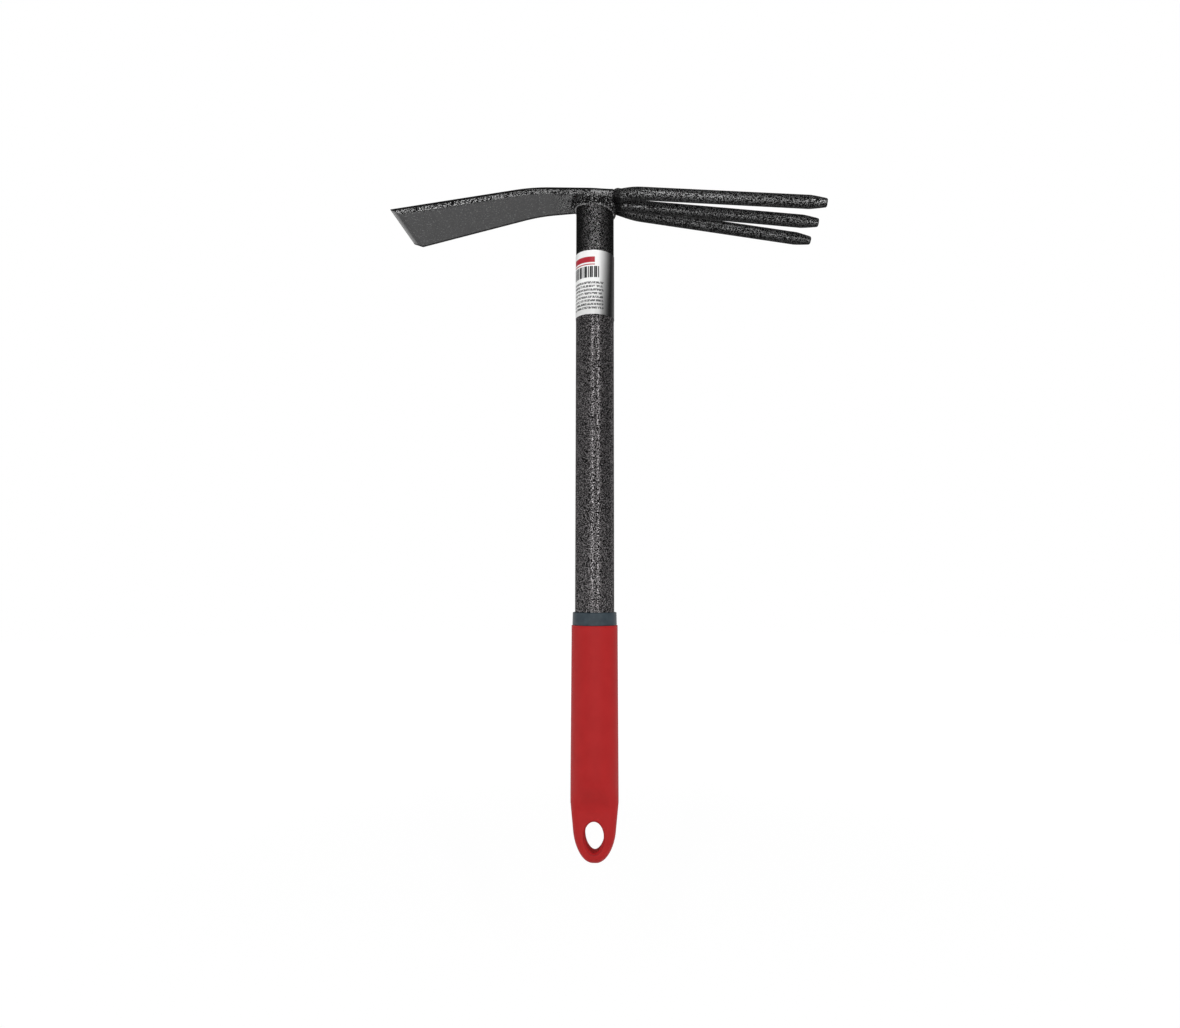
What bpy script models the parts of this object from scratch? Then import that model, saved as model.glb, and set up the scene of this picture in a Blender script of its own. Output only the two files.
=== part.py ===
"""Hand tiller: a short garden tool with a hoe blade on one side of its head and three tines on the other.

The head is steel: a flat plate, bent down and ground to a cutting edge, is welded across the end of a
steel tube, and three bent rods are welded to the plate's short end. The lower end of the tube sits in
a two-shot grip, a hard plastic core under a rubber sleeve, whose foot flattens into a tab with a
hole to hang the tool by. Nothing on it moves.

Metres, +Z up the handle, +X towards the tines, -X towards the hoe blade. The origin is on the tube's
axis at the middle of the palm's place on the grip.
"""

import math

import bmesh
import bpy
from mathutils import Vector

# Fits
CLEARANCE = 0.0003
ROUND_STEPS = 48
TINE_STEPS = 24

# Handle tube
TUBE_DIAMETER = 0.022
TUBE_WALL = 0.0012
TUBE_TOP = 0.29505
TUBE_FOOT = -0.0285

# Hoe blade, one plate with its tang over the tube
PLATE_THICKNESS = 0.0040
PLATE_EDGE_ROUND = 0.0005
TANG_WIDTH = 0.0222
TANG_OVERHANG = 0.0005
BLADE_REACH = 0.1152
EDGE_WIDTH = 0.0454
BEND_START = 0.025
BEND_RADIUS = 0.112
BLADE_DROP = math.radians(10.0)
BEND_STEPS = 10
GRIND_LENGTH = 0.0055
EDGE_LAND = 0.0006

# Tines, three round rods with tapered tips
TINE_DIAMETER = 0.0073
TINE_REACH = 0.1286
TINE_FALL = 0.0168
ROOT_GAP = 0.0015
ROOT_SINK = 0.00025
ROOT_CHAMFER = 0.0009
ELBOW_FROM_ROOT = 0.0106
ELBOW_SPREAD = 0.0130
ELBOW_RADIUS = 0.024
ELBOW_STEPS = 6
TIP_SPREAD = 0.0235
TIP_TAPER = 0.0095
TIP_DIAMETER = 0.0046
TIP_ROUND = 0.0007
MIDDLE_ROOT_DROP = 0.0015

# Welds
BEAD_HOE_TOE = 0.0030
BEAD_FLANK_TOE = 0.0058
BEAD_TINE_TOE = 0.0086
BEAD_HOE_LEG = 0.0034
BEAD_FLANK_LEG = 0.0010
BEAD_CORNER_LEG = 0.0036
BEAD_STEPS = 5
CAP_WELD_LENGTH = 0.0042
CAP_WELD_CROWN = 0.0004
CAP_WELD_SPAN = 0.0186
CAP_WELD_ROUND = 0.0008

# Label round the tube
LABEL_BELOW_TOP = 0.03295
LABEL_HEIGHT = 0.0375
LABEL_THICKNESS = 0.00025
LABEL_SKEW = math.radians(1.8)
LABEL_SEAM = 0.0012

# Grip core, the hard plastic shot
CORE_WALL = 0.00065
CORE_FLOOR = 0.0022
COLLAR_HEIGHT = 0.0072
COLLAR_PROUD = 0.0005
COLLAR_DRAFT = 0.00017
COLLAR_ROUND = 0.0004
TONGUE_WIDTH = 0.014
TONGUE_THICKNESS = 0.0044
TONGUE_LENGTH = 0.0210

# Grip sleeve, the rubber shot
SLEEVE_TOP = 0.0492
SLEEVE_TIP = -0.0793
SLEEVE_WALL_TOP = 0.00066
SLEEVE_WALL_FOOT = 0.00104
SLEEVE_TOP_ROUND = 0.0005
TAPER_START = -0.0470
SIDE_TAPER = 0.098
FLAT_START = -0.0315
FLAT_END = -0.0525
TAB_THICKNESS = 0.0096
NOSE_LENGTH = 0.0165
NOSE_POWER = 2.1
TAB_EDGE_ROUND = 0.0042
HOLE_TOP = -0.0567
HOLE_HEIGHT = 0.0166
HOLE_WIDTH = 0.0106
HOLE_WIDEST = 0.0075
HOLE_TOE_POWER = 1.8
HOLE_RIM_ROUND = 0.0012

# Sizes that follow from those above
TUBE_RADIUS = TUBE_DIAMETER / 2
TINE_RADIUS = TINE_DIAMETER / 2
PLATE_UNDERSIDE = TUBE_TOP + CLEARANCE
PLATE_TOP = PLATE_UNDERSIDE + PLATE_THICKNESS
TANG_END = TUBE_RADIUS + TANG_OVERHANG
ROOT_X = TANG_END + ROOT_GAP
ROOT_Z = PLATE_TOP - ROOT_SINK - TINE_RADIUS
ROOT_PITCH = math.sqrt((TINE_DIAMETER + CLEARANCE) ** 2 - MIDDLE_ROOT_DROP ** 2)
LABEL_FOOT = TUBE_TOP - LABEL_BELOW_TOP - LABEL_HEIGHT
CORE_BORE_RADIUS = TUBE_RADIUS + CLEARANCE
CORE_RADIUS = CORE_BORE_RADIUS + CORE_WALL
POCKET_RADIUS = CORE_RADIUS + CLEARANCE
CORE_TOP = SLEEVE_TOP + COLLAR_HEIGHT
CORE_FOOT = TUBE_FOOT - CLEARANCE - CORE_FLOOR
TONGUE_FOOT = CORE_FOOT - TONGUE_LENGTH


def clear_scene():
    """Remove every object that the new file starts with."""
    for item in list(bpy.data.objects):
        bpy.data.objects.remove(item, do_unlink=True)


def finish(name, colour, roughness, metallic):
    """A plain Principled material."""
    made = bpy.data.materials.new(name)
    made.use_nodes = True
    shader = made.node_tree.nodes["Principled BSDF"]
    shader.inputs["Base Color"].default_value = (*colour, 1.0)
    shader.inputs["Roughness"].default_value = roughness
    shader.inputs["Metallic"].default_value = metallic
    return made


def painted_steel(name):
    """Dark hammered enamel on steel."""
    return finish(name + "_enamel", (0.060, 0.060, 0.063), 0.38, 0.5)


def add_object(name, shape, material):
    """Turn a bmesh into a named object with its faces pointing out."""
    bmesh.ops.recalc_face_normals(shape, faces=shape.faces)
    mesh = bpy.data.meshes.new(name)
    shape.to_mesh(mesh)
    shape.free()
    mesh.shade_smooth()
    mesh.set_sharp_from_angle(angle=math.radians(35))
    if material:
        mesh.materials.append(material)
    made = bpy.data.objects.new(name, mesh)
    bpy.context.scene.collection.objects.link(made)
    return made


def boolean(body, tool, operation):
    """Join a tool shape to a body or cut it out, and keep the tool itself out of the part."""
    step = body.modifiers.new(tool.name, "BOOLEAN")
    step.operation = operation
    step.object = tool
    tool.hide_render = True
    tool.display_type = "WIRE"


def loft(rings, closed=False):
    """Skin a row of rings that have equal numbers of points, capped unless the row closes on itself."""
    shape = bmesh.new()
    rows = [[shape.verts.new(point) for point in ring] for ring in rings]
    followers = rows[1:] + rows[:1] if closed else rows[1:]
    for row, follower in zip(rows, followers):
        for i in range(len(row)):
            j = (i + 1) % len(row)
            shape.faces.new((row[i], row[j], follower[j], follower[i]))
    if not closed:
        shape.faces.new(rows[0])
        shape.faces.new(rows[-1])
    return shape


def revolve(profile):
    """Spin a closed outline of (radius, height) pairs once round Z."""
    shape = bmesh.new()
    corners = [shape.verts.new((radius, 0.0, height)) for radius, height in profile]
    edges = [shape.edges.new((a, b)) for a, b in zip(corners, corners[1:] + corners[:1])]
    bmesh.ops.spin(shape, geom=corners + edges, cent=(0, 0, 0), axis=(0, 0, 1),
                   angle=math.tau, steps=ROUND_STEPS, use_merge=True, use_duplicate=False)
    bmesh.ops.remove_doubles(shape, verts=shape.verts, dist=1e-6)
    return shape


def block(low, high):
    """A cuboid between two corners."""
    shape = bmesh.new()
    bmesh.ops.create_cube(shape, size=1.0)
    centre = (Vector(low) + Vector(high)) / 2
    size = Vector(high) - Vector(low)
    for vert in shape.verts:
        vert.co = centre + Vector(vert.co[i] * size[i] for i in range(3))
    return shape


def ease(share):
    """Smooth rise from 0 to 1."""
    share = min(max(share, 0.0), 1.0)
    return (1 - math.cos(math.pi * share)) / 2


def handle_tube():
    """Welded steel tube, open at both ends."""
    bore = TUBE_RADIUS - TUBE_WALL
    profile = [(bore, TUBE_FOOT), (TUBE_RADIUS, TUBE_FOOT), (TUBE_RADIUS, TUBE_TOP), (bore, TUBE_TOP)]
    add_object("handle_tube", revolve(profile), painted_steel("handle_tube"))


def blade_stations():
    """Points (x, z, slope) down the middle of the plate, from the tang's end to the cutting edge."""
    level = PLATE_UNDERSIDE + PLATE_THICKNESS / 2
    stations = [(TANG_END, level, 0.0), (TANG_END - PLATE_EDGE_ROUND, level, 0.0), (0.0, level, 0.0)]
    for step in range(BEND_STEPS + 1):
        slope = BLADE_DROP * step / BEND_STEPS
        x = -BEND_START - BEND_RADIUS * math.sin(slope)
        stations.append((x, level - BEND_RADIUS * (1 - math.cos(slope)), slope))
    last_x, last_z, slope = stations[-1]
    run = (BLADE_REACH + last_x) / math.cos(slope)
    for length in (run / 2, run - GRIND_LENGTH, run):
        x = last_x - length * math.cos(slope)
        stations.append((x, last_z - length * math.sin(slope), slope))
    return stations


def plate_section(x, z, slope, half_width, top, bottom, corner):
    """One cross-section of the plate, a flat box with small corners, square to its run."""
    outline = [(half_width, top - corner), (half_width - corner, top),
               (corner - half_width, top), (-half_width, top - corner),
               (-half_width, bottom + corner), (corner - half_width, bottom),
               (half_width - corner, bottom), (half_width, bottom + corner)]
    up = Vector((-math.sin(slope), 0.0, math.cos(slope)))
    return [Vector((x, y, z)) + up * rise for y, rise in outline]


def hoe_blade():
    """Flat blank that widens from the tang to the edge, bent down, and ground from below to its edge."""
    flare = (EDGE_WIDTH - TANG_WIDTH) / BLADE_REACH
    half = PLATE_THICKNESS / 2
    stations = blade_stations()
    rings = []
    for index, (x, z, slope) in enumerate(stations):
        half_width = (TANG_WIDTH - flare * x) / 2
        top, bottom, corner = half, -half, PLATE_EDGE_ROUND
        if index == 0:
            top, bottom = half - PLATE_EDGE_ROUND, PLATE_EDGE_ROUND - half
            half_width -= PLATE_EDGE_ROUND
        if index == len(stations) - 1:
            bottom, corner = half - EDGE_LAND, EDGE_LAND / 4
        rings.append(plate_section(x, z, slope, half_width, top, bottom, corner))
    add_object("hoe_blade", loft(rings), painted_steel("hoe_blade"))


def elbow_points(root, elbow, tip):
    """Points round a tine's elbow, where its splayed root leg turns into its long leg."""
    inward = (root - elbow).normalized()
    outward = (tip - elbow).normalized()
    turn = math.pi - inward.angle(outward)
    reach = ELBOW_RADIUS * math.tan(turn / 2)
    points = []
    for step in range(ELBOW_STEPS + 1):
        share = step / ELBOW_STEPS
        before = elbow + inward * reach * (1 - share)
        after = elbow + outward * reach * share
        points.append(before.lerp(after, share))
    return points


def tine_axis(side):
    """Points down a tine's axis: side is -1, 0 or 1 for the front, middle and back tine."""
    root_z = ROOT_Z - (0.0 if side else MIDDLE_ROOT_DROP)
    tip_z = ROOT_Z - TINE_FALL
    root = Vector((ROOT_X, side * ROOT_PITCH))
    elbow = Vector((ROOT_X + ELBOW_FROM_ROOT, side * ELBOW_SPREAD))
    tip = Vector((TINE_REACH, side * TIP_SPREAD))
    run = (tip - elbow).normalized()
    plan = [root, root + (elbow - root).normalized() * ROOT_CHAMFER]
    if side:
        plan += elbow_points(root, elbow, tip)
    plan += [tip - run * TIP_TAPER, tip - run * TIP_ROUND, tip]
    fall = (root_z - tip_z) / (TINE_REACH - ROOT_X)
    return [Vector((p.x, p.y, root_z - fall * (p.x - ROOT_X))) for p in plan]


def tine_rings(side, grow=0.0):
    """Rings of a tine along its axis; grow makes the larger shape that clears it on every side."""
    axis = tine_axis(side)
    radii = [TINE_RADIUS - ROOT_CHAMFER] + [TINE_RADIUS] * (len(axis) - 3)
    radii += [TIP_DIAMETER / 2, TIP_DIAMETER / 2 - TIP_ROUND]
    axis[0] = axis[0] - (axis[1] - axis[0]).normalized() * grow
    rings = []
    for index, (centre, radius) in enumerate(zip(axis, radii)):
        run = axis[min(index + 1, len(axis) - 1)] - axis[max(index - 1, 0)]
        run.normalize()
        across = Vector((0, 0, 1)).cross(run).normalized()
        over = run.cross(across)
        ring = []
        for step in range(TINE_STEPS):
            angle = math.tau * (step + 0.5) / TINE_STEPS
            ring.append(centre + (across * math.cos(angle) + over * math.sin(angle)) * (radius + grow))
        rings.append(ring)
    return rings


def tines():
    """Three round rods, side by side at the root, the outer two splayed by an elbow."""
    for name, side in (("tine_front", -1), ("tine_middle", 0), ("tine_back", 1)):
        add_object(name, loft(tine_rings(side)), painted_steel(name))


def bead_toe(angle):
    """How far down the tube the bead's toe reaches, at an angle from +X."""
    lengthwise = BEAD_TINE_TOE if math.cos(angle) > 0 else BEAD_HOE_TOE
    return BEAD_FLANK_TOE + (lengthwise - BEAD_FLANK_TOE) * math.cos(angle) ** 2


def bead_leg(angle):
    """How far out under the plate the bead reaches: most into the tang's two corners."""
    bore = TUBE_RADIUS + CLEARANCE
    square_leg = ROOT_X - CLEARANCE - bore
    if math.cos(angle) <= 0:
        return BEAD_FLANK_LEG + (BEAD_HOE_LEG - BEAD_FLANK_LEG) * math.cos(angle) ** 2
    leg = BEAD_FLANK_LEG + (square_leg - BEAD_FLANK_LEG) * math.cos(angle) ** 2
    leg += (BEAD_CORNER_LEG - leg) * math.sin(2 * angle) ** 2
    face = (ROOT_X - CLEARANCE) / math.cos(angle) if math.cos(angle) > 0.1 else math.inf
    return min(leg, face - bore)


def tube_weld():
    """Rounded fillet bead between the tube's end and the underside of the plate."""
    bore = TUBE_RADIUS + CLEARANCE
    top = PLATE_UNDERSIDE - CLEARANCE
    rings = []
    for step in range(ROUND_STEPS):
        angle = math.tau * step / ROUND_STEPS
        section = [(bore, top)]
        for part in range(BEAD_STEPS + 1):
            turn = math.pi / 2 * part / BEAD_STEPS
            section.append((bore + bead_leg(angle) * math.cos(turn), top - bead_toe(angle) * math.sin(turn)))
        rings.append([Vector((r * math.cos(angle), r * math.sin(angle), z)) for r, z in section])
    add_object("tube_weld", loft(rings, closed=True), painted_steel("tube_weld"))


def tine_root_weld():
    """Cap weld that fills the groove between the tang's end and the three tine roots."""
    low = (TANG_END + CLEARANCE, -CAP_WELD_SPAN / 2, PLATE_UNDERSIDE)
    high = (TANG_END + CLEARANCE + CAP_WELD_LENGTH, CAP_WELD_SPAN / 2, PLATE_TOP + CAP_WELD_CROWN)
    shape = block(low, high)
    crown = [edge for edge in shape.edges if any(vert.co.z > PLATE_TOP for vert in edge.verts)]
    bmesh.ops.bevel(shape, geom=crown, offset=CAP_WELD_ROUND, segments=4, profile=0.5, affect="EDGES")
    weld = add_object("tine_root_weld", shape, painted_steel("tine_root_weld"))
    for name, side in (("front", -1), ("middle", 0), ("back", 1)):
        seat = add_object("seat_" + name, loft(tine_rings(side, CLEARANCE)), None)
        boolean(weld, seat, "DIFFERENCE")


def label_sleeve():
    """Printed film wrapped once round the tube, slightly askew, with its seam at the back."""
    inner = TUBE_RADIUS + CLEARANCE
    outer = inner + LABEL_THICKNESS
    opening = LABEL_SEAM / inner
    rings = []
    for step in range(ROUND_STEPS + 1):
        angle = math.pi / 2 + opening / 2 + (math.tau - opening) * step / ROUND_STEPS
        ring = []
        for radius, rise in ((inner, 0), (outer, 0), (outer, LABEL_HEIGHT), (inner, LABEL_HEIGHT)):
            x = radius * math.cos(angle)
            z = LABEL_FOOT + rise - TUBE_RADIUS * math.cos(angle) * math.tan(LABEL_SKEW)
            ring.append(Vector((x, radius * math.sin(angle), z)))
        rings.append(ring)
    film = finish("label_film", (0.72, 0.71, 0.71), 0.3, 0.3)
    add_object("label_sleeve", loft(rings), film)


def tongue_block(grow):
    """The flat tongue under the core; grow makes the pocket that clears it."""
    half_width = TONGUE_WIDTH / 2 + grow
    half_depth = TONGUE_THICKNESS / 2 + grow
    overlap = CORE_FLOOR / 2
    return block((-half_width, -half_depth, TONGUE_FOOT - grow), (half_width, half_depth, CORE_FOOT + overlap))


def grip_core():
    """Hard plastic sleeve over the tube, with a collar above the rubber and a tongue below the tube."""
    collar = CORE_RADIUS + COLLAR_PROUD
    rim = collar - COLLAR_DRAFT
    seat = SLEEVE_TOP + CLEARANCE
    profile = [(CORE_RADIUS, CORE_FOOT), (CORE_RADIUS, seat), (collar, seat),
               (rim, CORE_TOP - COLLAR_ROUND), (rim - COLLAR_ROUND, CORE_TOP), (CORE_BORE_RADIUS, CORE_TOP),
               (CORE_BORE_RADIUS, TUBE_FOOT - CLEARANCE), (0.0, TUBE_FOOT - CLEARANCE), (0.0, CORE_FOOT)]
    slate = finish("core_plastic", (0.048, 0.065, 0.080), 0.5, 0.0)
    core = add_object("grip_core", revolve(profile), slate)
    tongue = add_object("core_tongue", tongue_block(0.0), None)
    boolean(core, tongue, "UNION")


def side_width(z):
    """Half width of the rubber sleeve seen from the front."""
    foot_radius = POCKET_RADIUS + SLEEVE_WALL_FOOT
    top_radius = POCKET_RADIUS + SLEEVE_WALL_TOP
    if z > TAPER_START:
        share = (z - TAPER_START) / (SLEEVE_TOP - TAPER_START)
        return foot_radius + (top_radius - foot_radius) * share
    width = foot_radius - SIDE_TAPER * (TAPER_START - z)
    into_nose = min(max((SLEEVE_TIP + NOSE_LENGTH - z) / NOSE_LENGTH, 0.0), 1.0)
    return width * (1 - into_nose ** 2) ** (1 / NOSE_POWER)


def side_depth(z):
    """Half depth of the rubber sleeve seen from the side: round above, a flat tab with a round edge below."""
    flat = ease((FLAT_START - z) / (FLAT_START - FLAT_END))
    depth = side_width(max(z, FLAT_START)) * (1 - flat) + TAB_THICKNESS / 2 * flat
    into_edge = min(max((SLEEVE_TIP + TAB_EDGE_ROUND - z) / TAB_EDGE_ROUND, 0.0), 1.0)
    return min(depth * math.sqrt(1 - into_edge ** 2), side_width(z))


def sleeve_section(z, inset=0.0):
    """One level section of the sleeve: two half circles with straight flanks between them."""
    depth = side_depth(z) - inset
    straight = side_width(z) - inset - depth
    ring = []
    for step in range(ROUND_STEPS):
        angle = math.tau * (step + 0.5) / ROUND_STEPS
        x = math.copysign(straight, math.cos(angle)) + depth * math.cos(angle)
        ring.append(Vector((x, depth * math.sin(angle), z)))
    return ring


def sleeve_levels():
    """Heights of the sleeve's sections, close together where it changes shape."""
    levels = [SLEEVE_TOP - SLEEVE_TOP_ROUND, SLEEVE_TOP / 2, 0.0, FLAT_START / 2]
    flattening = 8
    levels += [FLAT_START + (FLAT_END - FLAT_START) * step / flattening for step in range(flattening + 1)]
    nose_start = SLEEVE_TIP + NOSE_LENGTH
    levels.append((FLAT_END + nose_start) / 2)
    nose = 12
    for step in range(nose):
        levels.append(nose_start - NOSE_LENGTH * math.sin(math.pi / 2 * step / nose))
    levels.append(SLEEVE_TIP + NOSE_LENGTH * 0.0015)
    return levels


def hole_section(y, margin):
    """Egg-shaped outline of the hang hole, larger by a margin, at a depth y through the tab."""
    widest = HOLE_TOP - HOLE_WIDEST
    half_width = HOLE_WIDTH / 2 + margin
    rise = HOLE_WIDEST + margin
    fall = HOLE_HEIGHT - HOLE_WIDEST + margin
    ring = []
    for step in range(ROUND_STEPS):
        angle = math.tau * step / ROUND_STEPS
        across, up = math.cos(angle), math.sin(angle)
        if up >= 0:
            ring.append(Vector((half_width * across, y, widest + rise * up)))
        else:
            power = 2 / HOLE_TOE_POWER
            x = math.copysign(abs(across) ** power, across)
            ring.append(Vector((half_width * x, y, widest - fall * abs(up) ** power)))
    return ring


def hang_hole():
    """Cutter for the hang hole, flared at both faces of the tab to leave a rounded rim."""
    face = TAB_THICKNESS / 2
    steps = 4
    flare = []
    for step in range(steps + 1):
        turn = math.pi / 2 * step / steps
        flare.append((face - HOLE_RIM_ROUND * (1 - math.sin(turn)), HOLE_RIM_ROUND * (1 - math.cos(turn))))
    flare.append((face + HOLE_RIM_ROUND, HOLE_RIM_ROUND))
    depths = [(-y, margin) for y, margin in reversed(flare)] + flare
    return loft([hole_section(y, margin) for y, margin in depths])


def grip_sleeve():
    """Rubber sleeve moulded over the core, drawn in to a flat tab with a hang hole."""
    rings = [sleeve_section(SLEEVE_TOP, SLEEVE_TOP_ROUND)]
    rings += [sleeve_section(z) for z in sleeve_levels()]
    red = finish("sleeve_rubber", (0.392, 0.024, 0.027), 0.55, 0.0)
    sleeve = add_object("grip_sleeve", loft(rings), red)
    pocket_profile = [(0.0, CORE_FOOT - CLEARANCE), (POCKET_RADIUS, CORE_FOOT - CLEARANCE),
                      (POCKET_RADIUS, CORE_TOP), (0.0, CORE_TOP)]
    boolean(sleeve, add_object("core_pocket", revolve(pocket_profile), None), "DIFFERENCE")
    boolean(sleeve, add_object("tongue_pocket", tongue_block(CLEARANCE), None), "DIFFERENCE")
    boolean(sleeve, add_object("hang_hole", hang_hole(), None), "DIFFERENCE")


def main():
    """Model every piece of the tool."""
    clear_scene()
    handle_tube()
    hoe_blade()
    tines()
    tube_weld()
    tine_root_weld()
    label_sleeve()
    grip_core()
    grip_sleeve()


main()
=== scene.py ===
"""Looks of the hand tiller: fine meshes and finishes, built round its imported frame.

The tool hangs upright: +Z runs up the handle, +X towards the tines, -X towards the hoe blade and -Y to
the viewer. Sizes are metres, and so is the relief of a finish; its other places and distances are
millimetres. A size that the frame holds is read from the frame, and the others are the fields of each
sub-assembly's class.
"""

from __future__ import annotations

import logging
import math
import random
from dataclasses import dataclass
from enum import Enum
from typing import Any, Callable, Sequence

import bmesh
import bpy
from mathutils import Euler, Matrix, Vector

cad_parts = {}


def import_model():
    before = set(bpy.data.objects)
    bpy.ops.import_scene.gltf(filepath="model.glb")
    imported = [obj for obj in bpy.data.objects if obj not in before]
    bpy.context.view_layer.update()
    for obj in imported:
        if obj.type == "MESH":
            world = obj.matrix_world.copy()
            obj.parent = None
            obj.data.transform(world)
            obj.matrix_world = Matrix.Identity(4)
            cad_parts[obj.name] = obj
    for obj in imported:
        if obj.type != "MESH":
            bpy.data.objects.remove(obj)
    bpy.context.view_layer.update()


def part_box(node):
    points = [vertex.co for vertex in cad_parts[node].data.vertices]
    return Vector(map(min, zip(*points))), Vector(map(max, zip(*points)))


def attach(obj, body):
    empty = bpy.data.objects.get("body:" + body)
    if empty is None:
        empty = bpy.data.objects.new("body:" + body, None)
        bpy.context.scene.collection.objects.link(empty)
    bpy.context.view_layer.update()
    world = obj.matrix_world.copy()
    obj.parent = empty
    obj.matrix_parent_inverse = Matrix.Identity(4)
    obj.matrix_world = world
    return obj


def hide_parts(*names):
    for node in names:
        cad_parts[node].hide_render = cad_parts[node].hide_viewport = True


LOG = logging.getLogger("hand_tiller")
BODY = "root"
PHOTO_WIDTH = 1180
PHOTO_FOCAL = 780.0
# Distances in metres: on a cutting plane, touching, and near.
ON_PLANE = 1e-7
TOUCHING = 1e-6
NEAR = 1e-5
# The least that a section narrows to, as a share.
SLIVER = 1e-9

Colour = tuple[float, float, float]
# A span is two levels, and a band is two levels and how soft its borders are.
Span = tuple[float, float]
Band = tuple[float, float, float]
Point = Sequence[float]


class Kind(Enum):
    """The kinds of mesh element that a selection test is asked about."""

    VERT = "verts"
    EDGE = "edges"
    FACE = "faces"


class Slot(Enum):
    """The record's material slots."""

    ENAMEL = "steel_enamel"
    FILM = "label_film"
    CORE = "core_plastic"
    RUBBER = "sleeve_rubber"


def mm(length: float) -> float:
    """A length in millimetres, from metres."""
    return length * 1000.0


def progress(value: float, start: float, end: float) -> float:
    """How far a value is on its way from start to end, kept between 0 and 1."""
    return min(max((value - start) / (end - start), 0.0), 1.0)


def steps_between(start: float, end: float, count: int) -> list[float]:
    """Even steps from start to end, without start itself."""
    return [start + (end - start) * step / count for step in range(1, count + 1)]


def rounded_corner(radius: float, count: int) -> list[Span]:
    """Points round a corner, each as how far it lies in from the first side and from the second.

    Args:
        radius: The corner's radius.
        count: How many steps it has.

    Returns:
        The points, from the one on the second side to the one on the first.
    """
    leans = [math.pi / 2 * step / count for step in range(count + 1)]
    return [(radius * (1 - math.sin(lean)), radius * (1 - math.cos(lean))) for lean in leans]


@dataclass(frozen=True)
class Extent:
    """The lowest and highest corner of a node of the frame."""

    low: Vector
    high: Vector

    @classmethod
    def of(cls, node: str) -> Extent:
        """Read a node's box at rest from the frame."""
        return cls(*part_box(node))

    @property
    def size(self) -> Vector:
        """Its length along each axis."""
        return self.high - self.low


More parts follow.
